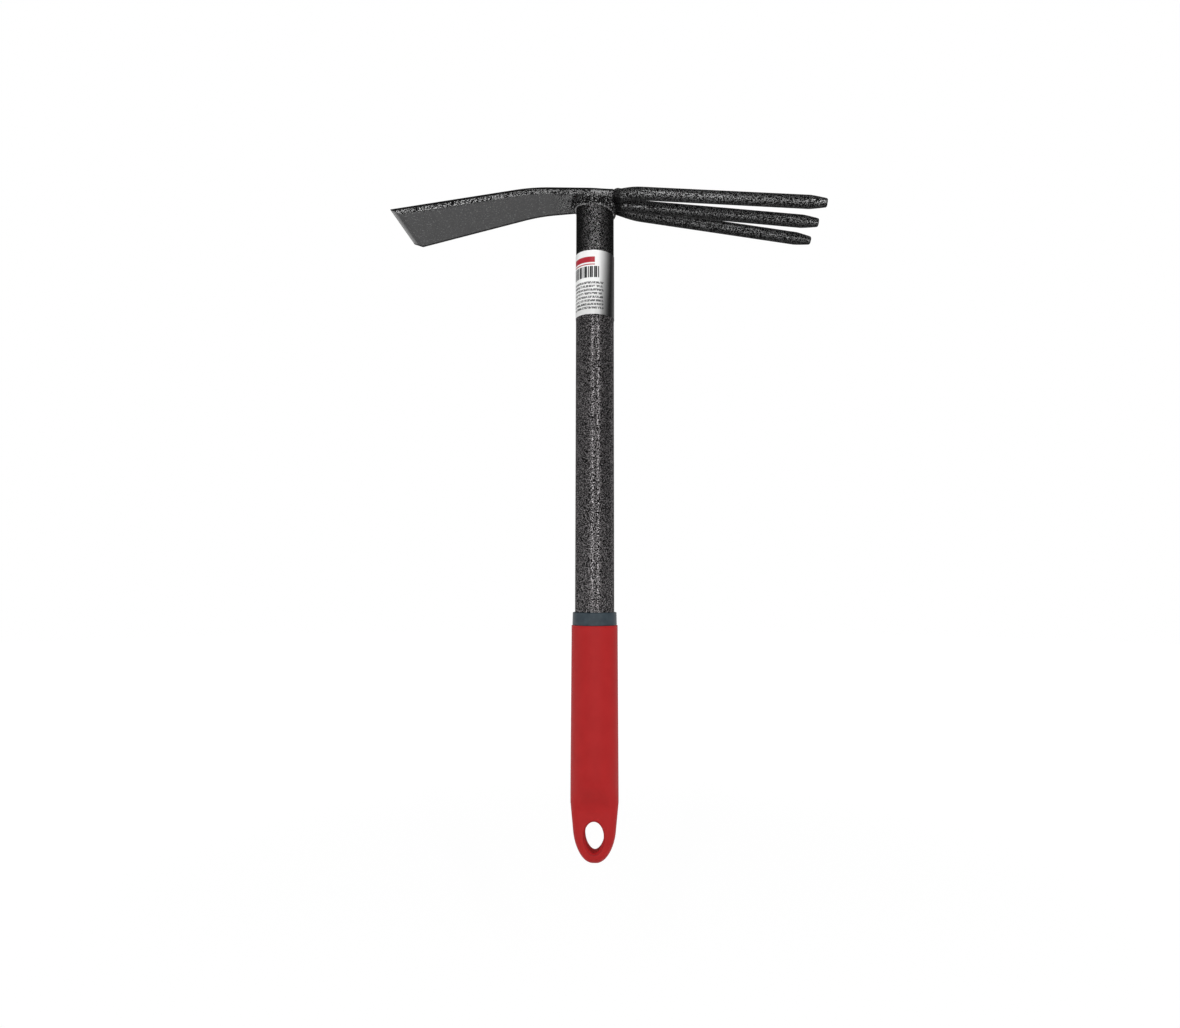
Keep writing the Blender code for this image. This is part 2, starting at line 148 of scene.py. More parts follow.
class Bench:
    """One mesh on the bench, shaped by the moves that a modeller makes by hand."""

    def __init__(self, name: str) -> None:
        """Take up the object that is active, set its place into its mesh and open it.

        Args:
            name: The piece's name.
        """
        self.item = bpy.context.object
        self.item.name = name
        self.item.data.name = name
        bpy.ops.object.transform_apply(location=True, rotation=True, scale=True)
        self.reopen()

    @staticmethod
    def clear() -> None:
        """Leave whatever mesh is open, with nothing selected."""
        if bpy.context.object and bpy.context.object.mode == "EDIT":
            bpy.ops.object.mode_set(mode="OBJECT")
        bpy.ops.object.select_all(action="DESELECT")

    @classmethod
    def disc(cls, name: str, radius: float, sides: int, centre: Point = (0, 0, 0),
             tilt: Point = (0, 0, 0), filled: bool = True) -> Bench:
        """Start from a circle.

        Args:
            name: The piece's name.
            radius: The circle's radius.
            sides: How many corners it has.
            centre: Its centre.
            tilt: Its turn about X, Y and Z, in radians.
            filled: Whether it has a face.

        Returns:
            The bench, with the circle selected.
        """
        cls.clear()
        bpy.ops.mesh.primitive_circle_add(vertices=sides, radius=radius, location=centre, rotation=tilt,
                                          fill_type="NGON" if filled else "NOTHING")
        return cls(name)

    @classmethod
    def block(cls, name: str, low: Point, high: Point) -> Bench:
        """Start from a block.

        Args:
            name: The piece's name.
            low: Its lowest corner.
            high: Its highest corner.

        Returns:
            The bench, with the block selected.
        """
        cls.clear()
        low, high = Vector(low), Vector(high)
        bpy.ops.mesh.primitive_cube_add(size=1, location=(high + low) / 2, scale=high - low)
        return cls(name)

    @classmethod
    def drop(cls, name: str, centre: Point, tilt: Point, radii: Point) -> Bench:
        """Start from a ball stretched along its own axes.

        Args:
            name: The piece's name.
            centre: Its centre.
            tilt: Its turn about X, Y and Z, in radians.
            radii: Its half lengths.

        Returns:
            The bench, with the ball selected.
        """
        cls.clear()
        bpy.ops.mesh.primitive_uv_sphere_add(segments=20, ring_count=12, radius=1.0, location=centre,
                                             rotation=tilt, scale=radii)
        return cls(name)

    @classmethod
    def joined(cls, name: str, items: Sequence[bpy.types.Object]) -> Bench:
        """Take up several closed objects as one.

        Args:
            name: The piece's name.
            items: The objects.

        Returns:
            The bench, with all of them selected.
        """
        cls.clear()
        for item in items:
            item.select_set(True)
        bpy.context.view_layer.objects.active = items[0]
        bpy.ops.object.join()
        return cls(name)

    def pick(self, test: Callable[[Any], bool], kind: Kind = Kind.VERT) -> Bench:
        """Select the elements that pass a test, and nothing else.

        Args:
            test: Says whether an element is wanted.
            kind: Which elements it is asked about.

        Returns:
            The bench.
        """
        bpy.ops.mesh.select_mode(type=kind.name)
        mesh = bmesh.from_edit_mesh(self.item.data)
        wanted = [element for element in getattr(mesh, kind.value) if test(element)]
        bpy.ops.mesh.select_all(action="DESELECT")
        for element in wanted:
            element.select_set(True)
        mesh.select_flush_mode()
        bmesh.update_edit_mesh(self.item.data)
        return self

    def pick_all(self) -> Bench:
        """Select everything.

        Returns:
            The bench.
        """
        bpy.ops.mesh.select_mode(type=Kind.VERT.name)
        bpy.ops.mesh.select_all(action="SELECT")
        return self

    def pick_section(self, axis: str, level: float, test: Callable[[Vector], bool] | None = None) -> Bench:
        """Select the points at a level along an axis, or those of them whose place passes a test."""
        return self.pick(lambda vert: abs(getattr(vert.co, axis) - level) < TOUCHING
                         and (test is None or test(vert.co)))

    def chosen(self) -> list[Vector]:
        """The places of the selected points."""
        mesh = bmesh.from_edit_mesh(self.item.data)
        return [vert.co.copy() for vert in mesh.verts if vert.select]

    def middle(self) -> Vector:
        """The middle of the selected points."""
        places = self.chosen()
        return sum(places, Vector()) / len(places)

    def move(self, offset: Point) -> Bench:
        """Move the selection."""
        bpy.ops.transform.translate(value=offset)
        return self

    def turn(self, angle: float, axis: str, centre: Point) -> Bench:
        """Turn the selection by the right-hand rule, about a named world axis through a point."""
        bpy.ops.transform.rotate(value=-angle, orient_axis=axis, center_override=centre)
        return self

    def scale(self, factors: Point, centre: Point) -> Bench:
        """Scale the selection about a centre."""
        bpy.ops.transform.resize(value=factors, center_override=centre)
        return self

    def extrude(self, offset: Point) -> Bench:
        """Extrude the selection and leave its new end selected."""
        bpy.ops.mesh.extrude_region_move(TRANSFORM_OT_translate={"value": offset})
        return self

    def spin(self, angle: float, steps: int, centre: Point, axis: Point) -> Bench:
        """Extrude the selection by the right-hand rule, round an axis through a point."""
        bpy.ops.mesh.spin(steps=steps, angle=-angle, center=centre, axis=axis)
        return self

    def pull_ring(self, level: float, radius: float) -> Bench:
        """Extrude the selected ring round Z to another height and radius.

        Args:
            level: The new ring's height.
            radius: Its radius.

        Returns:
            The bench, with the new ring selected.
        """
        first = self.chosen()[0]
        self.extrude((0, 0, level - first.z))
        factor = radius / math.hypot(first.x, first.y)
        return self.scale((factor, factor, 1), (0, 0, level))

    def bevel(self, width: float, segments: int) -> Bench:
        """Round the selected edges."""
        bpy.ops.mesh.bevel(offset=width, segments=segments, profile=0.5, affect="EDGES")
        return self

    def slice(self, point: Point, normal: Point, keep_below: bool = False, fill: bool = False) -> Bench:
        """Cut the selection with a plane.

        Args:
            point: A point on the plane.
            normal: The way that the plane faces.
            keep_below: Whether what lies on the side it faces is thrown away.
            fill: Whether the cut is closed with faces.

        Returns:
            The bench.
        """
        bpy.ops.mesh.bisect(plane_co=point, plane_no=Vector(normal).normalized(), threshold=ON_PLANE,
                            clear_outer=keep_below, use_fill=fill)
        return self

    def delete_faces(self) -> Bench:
        """Take away the selected faces."""
        bpy.ops.mesh.delete(type="FACE")
        return self

    def clean(self) -> Bench:
        """Merge doubled points and turn every face outwards.

        Returns:
            The bench, with everything selected.
        """
        self.pick_all()
        bpy.ops.mesh.remove_doubles(threshold=TOUCHING)
        bpy.ops.mesh.normals_make_consistent(inside=False)
        return self

    def close(self) -> bpy.types.Object:
        """Leave edit mode.

        Returns:
            The object on the bench.
        """
        self.clear()
        self.item.select_set(True)
        bpy.context.view_layer.objects.active = self.item
        return self.item

    def apply(self, kind: str, **settings: Any) -> Bench:
        """Close the mesh, add a modifier to it and apply it.

        Args:
            kind: The modifier's type.
            settings: Its values by name.

        Returns:
            The bench.
        """
        self.close()
        step = self.item.modifiers.new(kind.title(), kind)
        for name, value in settings.items():
            setattr(step, name, value)
        bpy.ops.object.modifier_apply(modifier=step.name)
        return self

    def reopen(self) -> Bench:
        """Go back to edit mode.

        Returns:
            The bench, with everything selected.
        """
        self.close()
        bpy.ops.object.mode_set(mode="EDIT")
        return self.pick_all()

    def combine(self, tool: bpy.types.Object, operation: str) -> Bench:
        """Join another closed shape to the object or cut it out, and use the shape up.

        Args:
            tool: The shape.
            operation: UNION or DIFFERENCE.

        Returns:
            The bench.
        """
        self.apply("BOOLEAN", operation=operation, object=tool, solver="EXACT")
        bpy.data.objects.remove(tool, do_unlink=True)
        return self

    def finish(self, sharp: float) -> bpy.types.Object:
        """Leave edit mode and shade the piece smooth, with its edges past an angle kept sharp.

        Args:
            sharp: That angle in degrees.

        Returns:
            The finished object.
        """
        self.close()
        bpy.ops.object.shade_smooth_by_angle(angle=math.radians(sharp))
        return self.item


@dataclass(frozen=True)
class Value:
    """An output socket of a shader, with Python's arithmetic on it."""

    recipe: Recipe
    socket: bpy.types.NodeSocket

    def __add__(self, other: Value | float) -> Value:
        """Sum."""
        return self.recipe.math("ADD", self, other)

    def __sub__(self, other: Value | float) -> Value:
        """Difference."""
        return self.recipe.math("SUBTRACT", self, other)

    def __rsub__(self, other: float) -> Value:
        """Difference from a number."""
        return self.recipe.math("SUBTRACT", other, self)

    def __mul__(self, other: Value | float) -> Value:
        """Product."""
        return self.recipe.math("MULTIPLY", self, other)

    def __truediv__(self, other: Value | float) -> Value:
        """Quotient."""
        return self.recipe.math("DIVIDE", self, other)

    def __mod__(self, other: float) -> Value:
        """Remainder that stays positive."""
        return self.recipe.math("FLOORED_MODULO", self, other)

    def __abs__(self) -> Value:
        """Size without sign."""
        return self.recipe.math("ABSOLUTE", self)

    __radd__, __rmul__ = __add__, __mul__

    def other(self, name: str | int) -> Value:
        """Another output of the same node."""
        return Value(self.recipe, self.socket.node.outputs[name])

    def most(self, other: Value | float) -> Value:
        """The larger of the two."""
        return self.recipe.math("MAXIMUM", self, other)

    def toward(self, target: float, share: Value) -> Value:
        """This value moved a share of the way to a number."""
        return self + (target - self) * share

    def rise(self, low: float, high: float) -> Value:
        """A smooth step.

        Args:
            low: Where it is 0.
            high: Where it is 1, which may be the lower of the two.

        Returns:
            The step.
        """
        inputs = {"Value": self, "From Min": min(low, high), "From Max": max(low, high)}
        step = self.recipe.node("ShaderNodeMapRange", {"interpolation_type": "SMOOTHSTEP"}, inputs)
        return step if low < high else 1.0 - step

    def band(self, low: float, high: float, soft: float) -> Value:
        """1 between two levels and 0 outside, with soft borders."""
        return self.rise(low - soft, low + soft) * self.rise(high + soft, high - soft)

    def stroke(self, pitch: float) -> Value:
        """How far this length is from the middle of the pitch it is in, as a share of the pitch."""
        return abs((self % pitch) / pitch - 0.5)

    def blend(self, first: Value | Colour, second: Value | Colour) -> Value:
        """Blend two colours by this share: the first at 0 and the second at 1."""
        first, second = (c if isinstance(c, Value) else (*c, 1.0) for c in (first, second))
        return self.recipe.node("ShaderNodeMix", {"data_type": "RGBA"}, {0: self, 6: first, 7: second}, 2)

    def split(self) -> tuple[Value, Value, Value]:
        """The three parts of a vector."""
        first = self.recipe.node("ShaderNodeSeparateXYZ", None, {0: self})
        return first, first.other(1), first.other(2)

    def vector(self, operation: str, second: Value | Point) -> Value:
        """A Vector Math node on this vector and another."""
        return self.recipe.node("ShaderNodeVectorMath", {"operation": operation}, {0: self, 1: second})

    def noise(self, scale: float, detail: float, rough: float = 0.5, output: str | int = 0) -> Value:
        """Smooth noise over this vector.

        Args:
            scale: Features per millimetre.
            detail: How many finer layers it has.
            rough: How strong the finer layers are.
            output: Which output of the node is wanted.

        Returns:
            A value from 0 to 1, or three of them as a colour.
        """
        inputs = {"Vector": self, "Scale": scale, "Detail": detail, "Roughness": rough}
        return self.recipe.node("ShaderNodeTexNoise", None, inputs, output)


class Recipe:
    """A procedural material or world while its nodes are laid out."""

    def __init__(self, owner: bpy.types.Material | bpy.types.World) -> None:
        """Start with an empty node tree.

        Args:
            owner: The material or world that is laid out.
        """
        owner.use_nodes = True
        self.owner = owner
        self.tree = owner.node_tree
        self.tree.nodes.clear()

    @classmethod
    def named(cls, name: str) -> Recipe:
        """Start a new material."""
        return cls(bpy.data.materials.new(name))

    def node(self, kind: str, settings: dict[str, Any] | None = None,
             inputs: dict[str | int, Any] | None = None, output: str | int = 0) -> Value:
        """Add a node, set it, and feed its sockets.

        Args:
            kind: The node's type.
            settings: Its properties, which are set before its sockets.
            inputs: A number, a colour or a Value for each named socket.
            output: The output to hand back.

        Returns:
            That output.
        """
        made = self.tree.nodes.new(kind)
        for name, setting in (settings or {}).items():
            setattr(made, name, setting)
        for name, given in (inputs or {}).items():
            if isinstance(given, Value):
                self.tree.links.new(given.socket, made.inputs[name])
            else:
                made.inputs[name].default_value = given
        return Value(self, made.outputs[output]) if made.outputs else None

    def math(self, operation: str, *terms: Value | float) -> Value:
        """A Math node on one or two terms."""
        return self.node("ShaderNodeMath", {"operation": operation}, dict(enumerate(terms)))

    def place(self) -> Value:
        """The point on the piece, in millimetres, in the object's own frame."""
        return self.node("ShaderNodeTexCoord", output="Object").vector("MULTIPLY", (mm(1.0),) * 3)

    def facing(self) -> tuple[Value, Value, Value]:
        """The three parts of the way that the surface faces."""
        return self.node("ShaderNodeNewGeometry", output="Normal").split()

    def bump(self, height: Value, depth: float) -> Value:
        """The normal of a surface whose height runs from 0 to 1 over a depth in metres."""
        return self.node("ShaderNodeBump", None, {"Height": height, "Strength": 1.0, "Distance": depth})

    def surface(self, colour: Value, **inputs: Any) -> bpy.types.Material:
        """Close the recipe with a Principled shader.

        Args:
            colour: Its base colour.
            inputs: Its other sockets, with underscores for the spaces in their names.

        Returns:
            The material.
        """
        named = {key.replace("_", " "): given for key, given in inputs.items()}
        named["Base Color"] = colour
        return self.output(self.node("ShaderNodeBsdfPrincipled", None, named))

    def output(self, shader: Value) -> bpy.types.Material | bpy.types.World:
        """Wire a shader to the output.

        Args:
            shader: The shader.

        Returns:
            The material or world.
        """
        kind = "World" if isinstance(self.owner, bpy.types.World) else "Material"
        self.node(f"ShaderNodeOutput{kind}", None, {"Surface": shader})
        return self.owner


def seen_background(recipe: Recipe) -> Value:
    """1 for rays that see the background: from the camera, from a gloss or through a clear surface."""
    camera = recipe.node("ShaderNodeLightPath", output="Is Camera Ray")
    return camera.most(camera.other("Is Glossy Ray")).most(camera.other("Is Transmission Ray"))


@dataclass(frozen=True)
class Coat:
    """How a finish looks from place to place."""

    colour: Value
    rough: Value
    metal: Value
    level: Value


@dataclass(frozen=True)
class HammeredEnamel:
    """Charcoal hammered enamel: a silvery skin, thick with small dark pits and light flecks."""

    name: str
    skin: Colour = (0.126, 0.126, 0.127)
    pit: Colour = (0.004, 0.004, 0.004)
    fleck: Colour = (0.330, 0.329, 0.330)
    silver: float = 0.70
    rough: float = 0.30
    pit_rough: float = 0.40
    grain: float = 1.9
    wander: float = 0.9
    wander_scale: float = 0.6
    patch_scale: float = 0.07
    patches: float = 0.05
    pit_levels: Span = (0.545, 0.500)
    fleck_levels: Span = (0.575, 0.615)
    relief: float = 0.000004
    gloss: float = 0.05
    gloss_tint: Colour = (0.2, 0.2, 0.2)
    shade_below: bool = False
    underside_shade: float = 0.75
    underside_shade_facing: Span = (-0.45, -0.90)

    def material(self) -> bpy.types.Material:
        """Lay out the finish.

        Returns:
            The material.
        """
        recipe = Recipe.named(self.name)
        coat = self.coat(recipe.place())
        return recipe.surface(coat.colour, Roughness=coat.rough, Metallic=coat.metal,
                              Normal=recipe.bump(coat.level, self.relief),
                              Specular_IOR_Level=self.gloss, Specular_Tint=(*self.gloss_tint, 1.0))

    def ground(self, place: Value) -> tuple[Value | Colour, Value | float, Value | float]:
        """The skin's colour, roughness and share of metal at a place."""
        return self.skin, self.rough, self.silver

    def depth(self, place: Value) -> Value | float:
        """How much more of the skin the pits take at a place."""
        return 0.0

    def coat(self, place: Value) -> Coat:
        """Lay out the skin with its pits and flecks.

        Args:
            place: The point on the piece.

        Returns:
            The coat.
        """
        drift = place.noise(self.wander_scale, detail=1.0, output="Color")
        drift = drift.vector("MULTIPLY", (self.wander,) * 3)
        fine = place.vector("ADD", drift).noise(self.grain, detail=0.0)
        level = fine + (place.noise(self.patch_scale, detail=2.0) - 0.5) * self.patches - self.depth(place)
        pits = level.rise(*self.pit_levels)
        flecks = level.rise(*self.fleck_levels)
        # Painted shade: surfaces that face down take more pits and fewer flecks.
        if self.shade_below:
            underside_shade = place.recipe.facing()[2].rise(*self.underside_shade_facing) * self.underside_shade
            pits = pits.toward(1.0, underside_shade)
            flecks = flecks.toward(0.0, underside_shade)
        skin, rough, silver = self.ground(place)
        colour = flecks.blend(pits.blend(skin, self.pit), self.fleck)
        return Coat(colour, pits * self.pit_rough + rough, (1.0 - pits) * silver, level)


@dataclass(frozen=True)
class TubeEnamel(HammeredEnamel):
    """The same enamel on the tube, with painted shade over the label: more metal, deeper pits, and dark sides
    under the blade and the tines.
    """

    skin: Colour = (0.080, 0.076, 0.078)
    fleck: Colour = (0.300, 0.284, 0.289)
    grain: float = 2.2
    label_top: float = 0.0
    fade: float = 8.0
    head_skin: Colour = (0.290, 0.292, 0.292)
    head_rough: float = 0.40
    head_silver: float = 0.92
    head_shade_depth: float = 0.055
    dark: float = 0.75
    painted_shade_reach: Span = (4.5, 8.8)
    painted_shade_offset: float = 0.8

    def head(self, place: Value) -> Value:
        """1 over the label, where the tube carries painted shade, and 0 under it; the change lies behind the
        label.
        """
        return place.split()[2].rise(self.label_top - self.fade, self.label_top)

    def ground(self, place: Value) -> tuple[Value | Colour, Value | float, Value | float]:
        """The skin's colour, roughness and share of metal at a place.

        Args:
            place: The point on the piece.

        Returns:
            The three.
        """
        # Over the label the skin turns more metal and rougher, which darkens the tube's sides there: painted
        # shade.
        head = self.head(place)
        rough = head * (self.head_rough - self.rough) + self.rough
        silver = head * (self.head_silver - self.silver) + self.silver
        return head.blend(self.skin, self.head_skin), rough, silver

    def depth(self, place: Value) -> Value | float:
        """How much more of the skin the pits take at a place: more over the label, as painted shade."""
        return self.head(place) * self.head_shade_depth

    def coat(self, place: Value) -> Coat:
        """Lay out the enamel, and paint shade on its sides over the label, under the blade and the tines.

        Args:
            place: The point on the piece.

        Returns:
            The coat.
        """
        coat = super().coat(place)
        # Painted shade: over the label, the tube's sides blend towards the pit colour, under the overhanging
        # blade and tines.
        side = abs(place.split()[0] - self.painted_shade_offset).rise(*self.painted_shade_reach)
        colour = (self.head(place) * side * self.dark).blend(coat.colour, self.pit)
        return Coat(colour, coat.rough, coat.metal, coat.level)


@dataclass(frozen=True)
class PlateEnamel(HammeredEnamel):
    """The same enamel on the hoe's plate, thin and even under the blade and ground off its edge.

    Its shape is told by edge, where the cutting edge is, tang, the plate's width at the tube, flare, how
    much wider it gets per length, top, the height of its top, bend, how far from the tube it turns down,
    and slope, how steeply.
    """

    edge: float = 0.0
    tang: float = 0.0
    flare: float = 0.0
    top: float = 0.0
    bend: float = 0.0
    slope: float = 0.0
    even: Colour = (0.104, 0.104, 0.105)
    even_facing: Span = (-0.90, -0.97)
    even_start: Span = (-16.0, -28.0)
    even_margin: Span = (0.8, 3.2)
    even_least: float = 0.55
    even_cover: float = 0.94
    even_rough: float = 0.45
    even_metal: float = 0.5
    mist_scale: float = 1.1
    mist_dark: Span = (0.40, 0.25)
    mist_dark_share: float = 0.5
    mist_light: Span = (0.59, 0.72)
    mist_light_share: float = 0.6
    bevel_highlight: Colour = (0.420, 0.420, 0.420)
    bevel_highlight_facing: Span = (-0.22, -0.32)
    scratches: Point = (0.5, 6.0, 0.5)
    worn: Span = (4.0, 0.8)
    bevel_highlight_least: float = 0.35
    side_facing: Span = (0.25, 0.45)
    side_loss: float = 0.45
    top_edge_shade: Span = (1.7, 1.2)
    foot: Span = (2.6, 1.6)
    far_edge_shade_facing: Span = (-0.5, -0.8)
    far_edge_shade_share: float = 0.85
    edge_shade_cover: float = 0.95
    rim_rough: float = 0.8
    crown_highlight: Colour = (0.400, 0.398, 0.398)
    crown_highlight_reach: Band = (-1.0, 9.0, 1.5)
    crown_highlight_drop: Span = (0.8, 1.8)
    crown_highlight_facing: Span = (0.6, 0.9)
    crown_highlight_levels: Span = (0.46, 0.52)
    crown_highlight_share: float = 0.8

    def coat(self, place: Value) -> Coat:
        """Lay out the enamel, over it the even underside and the ground edge, then painted shade along the
        rims and a painted highlight near the tang's end.

        Args:
            place: The point on the piece.

        Returns:
            The coat.
        """
        coat = super().coat(place)
        along, across, height = place.split()
        facing = place.recipe.facing()
        margin = (self.tang - along * self.flare) / 2.0 - abs(across)
        calm = facing[2].rise(*self.even_facing) * along.rise(*self.even_start)
        calm = calm * (margin.rise(*self.even_margin) * (1.0 - self.even_least) + self.even_least)
        side = abs(facing[1]).rise(*self.side_facing)
        fall = (along * -1.0 - self.bend).most(0.0) * self.slope
        # Painted shade: a dark line along the top of the side faces, and one along the far edge of the
        # underside.
        top_edge_shade = (self.top - fall - height).rise(*self.top_edge_shade) * side
        foot = margin.rise(*self.foot) * across.rise(0.0, 1.0) * facing[2].rise(*self.far_edge_shade_facing)
        rim = top_edge_shade.most(foot * self.far_edge_shade_share)
        # Painted highlight: lighter flecks on the side faces near the top, over the tang's end.
        crown_highlight = along.band(*self.crown_highlight_reach) * abs(facing[1]).rise(*self.crown_highlight_facing)
        crown_highlight = crown_highlight * (self.top - height).rise(*self.crown_highlight_drop) * coat.level.rise(*self.crown_highlight_levels)
        colour = (calm * self.even_cover).blend(coat.colour, self._underside(place))
        # The ground bevel takes a lighter colour: a painted highlight, marked with grind scratches.
        colour = facing[0].rise(*self.bevel_highlight_facing).blend(colour, self._ground_edge(place, along))
        # The rims take the pit colour as painted shade.
        colour = (rim * self.edge_shade_cover).blend(colour, self.pit)
        colour = (crown_highlight * self.crown_highlight_share).blend(colour, self.crown_highlight)
        metal = coat.metal.toward(self.even_metal, calm).toward(0.0, side * self.side_loss).toward(0.0, rim)
        rough = coat.rough.toward(self.even_rough, calm).toward(self.rim_rough, rim)
        return Coat(colour, rough, metal, coat.level * (1.0 - calm))

    def _underside(self, place: Value) -> Value:
        """The even colour under the blade, with its darker and lighter specks.

        Args:
            place: The point on the piece.

        Returns:
            The colour.
        """
        mist = place.noise(self.mist_scale, detail=1.0)
        even = (mist.rise(*self.mist_dark) * self.mist_dark_share).blend(self.even, self.skin)
        return (mist.rise(*self.mist_light) * self.mist_light_share).blend(even, self.fleck)

    def _ground_edge(self, place: Value, along: Value) -> Value:
        """The ground edge's colour: a painted highlight over the bevel, finely scratched, and brighter
        towards the cutting line.
        """
        marks = place.vector("MULTIPLY", self.scratches).noise(1.0, detail=2.0) + self.bevel_highlight_least
        return ((along - self.edge).rise(*self.worn) * marks).blend(self.even, self.bevel_highlight)


@dataclass(frozen=True)
class WeldEnamel(HammeredEnamel):
    """The same enamel over the weld, with painted shade under the plate, a thin painted highlight along its
    toe, and a painted highlight near its top on the tines' side.

    Its shape is told by top, the height of the plate's underside, radius, the tube's radius, and toes,
    how far down the bead reaches on the hoe's side, on its flanks and on the tines' side.
    """

    top: float = 0.0
    radius: float = 0.0
    toes: tuple[float, ...] = (0.0, 0.0, 0.0)
    shade: float = 0.11
    shade_drop: Span = (0.5, 1.8)
    weld_highlight: Colour = (0.300, 0.298, 0.298)
    weld_highlight_drop: Span = (-0.60, -0.40)
    weld_highlight_reach: Span = (1.0, 0.6)
    weld_highlight_cover: float = 0.9
    weld_highlight_loss: float = 0.5
    crown_highlight_drop: Span = (2.4, 1.4)
    crown_highlight_reach: Band = (1.0, 8.0, 1.5)
    crown_highlight_levels: Span = (0.40, 0.46)
    crown_highlight_share: float = 0.8

    def depth(self, place: Value) -> Value | float:
        """How much more of the skin the pits take below the top of the bead: painted shade under the plate.
        """
        return (self.top - place.split()[2]).rise(*self.shade_drop) * self.shade

    def coat(self, place: Value) -> Coat:
        """Lay out the enamel, and over it a painted highlight along the toe and near the top of the bead.

        Args:
            place: The point on the piece.

        Returns:
            The coat.
        """
        coat = super().coat(place)
        across, deep, height = place.split()
        hoe, flank, tine = self.toes
        outwards = across * across + deep * deep
        lengthwise = across.rise(-0.1, 0.1) * (tine - hoe) + (hoe - flank)
        toe = lengthwise * (across * across / outwards) + flank
        below = self.top - height
        # Painted highlight: a thin light line along the bead's toe, and lighter flecks near its top on the
        # tines' side.
        weld_highlight = (below - toe).rise(*self.weld_highlight_drop)
        weld_highlight = weld_highlight * (place.recipe.math("SQRT", outwards) - self.radius).rise(*self.weld_highlight_reach)
        crown_highlight = below.rise(*self.crown_highlight_drop) * across.band(*self.crown_highlight_reach)
        crown_highlight = crown_highlight * coat.level.rise(*self.crown_highlight_levels) * self.crown_highlight_share
        colour = crown_highlight.blend((weld_highlight * self.weld_highlight_cover).blend(coat.colour, self.weld_highlight), self.weld_highlight)
        return Coat(colour, coat.rough, coat.metal.toward(0.0, weld_highlight * self.weld_highlight_loss), coat.level)


@dataclass(frozen=True)
class TineEnamel(HammeredEnamel):
    """The same enamel on a tine, with painted shade in the groove at its root.

    Its place is told by root, where the rods begin, and top, the height of the plate's top.
    """

    root: float = 0.0
    top: float = 0.0
    root_shade_reach: Span = (4.2, 1.8)
    root_shade_drop: Span = (-1.4, -2.8)
    root_shade_cover: float = 0.85

    def coat(self, place: Value) -> Coat:
        """Lay out the enamel, and over it the painted shade at the root.

        Args:
            place: The point on the piece.

        Returns:
            The coat.
        """
        coat = super().coat(place)
        along, _, height = place.split()
        # Painted shade: the groove at the root, below the plate's top, takes the pit colour.
        scale = (along - self.root).rise(*self.root_shade_reach) * (height - self.top).rise(*self.root_shade_drop)
        colour = (scale * self.root_shade_cover).blend(coat.colour, self.pit)
        return Coat(colour, coat.rough, coat.metal.toward(0.0, scale), coat.level)


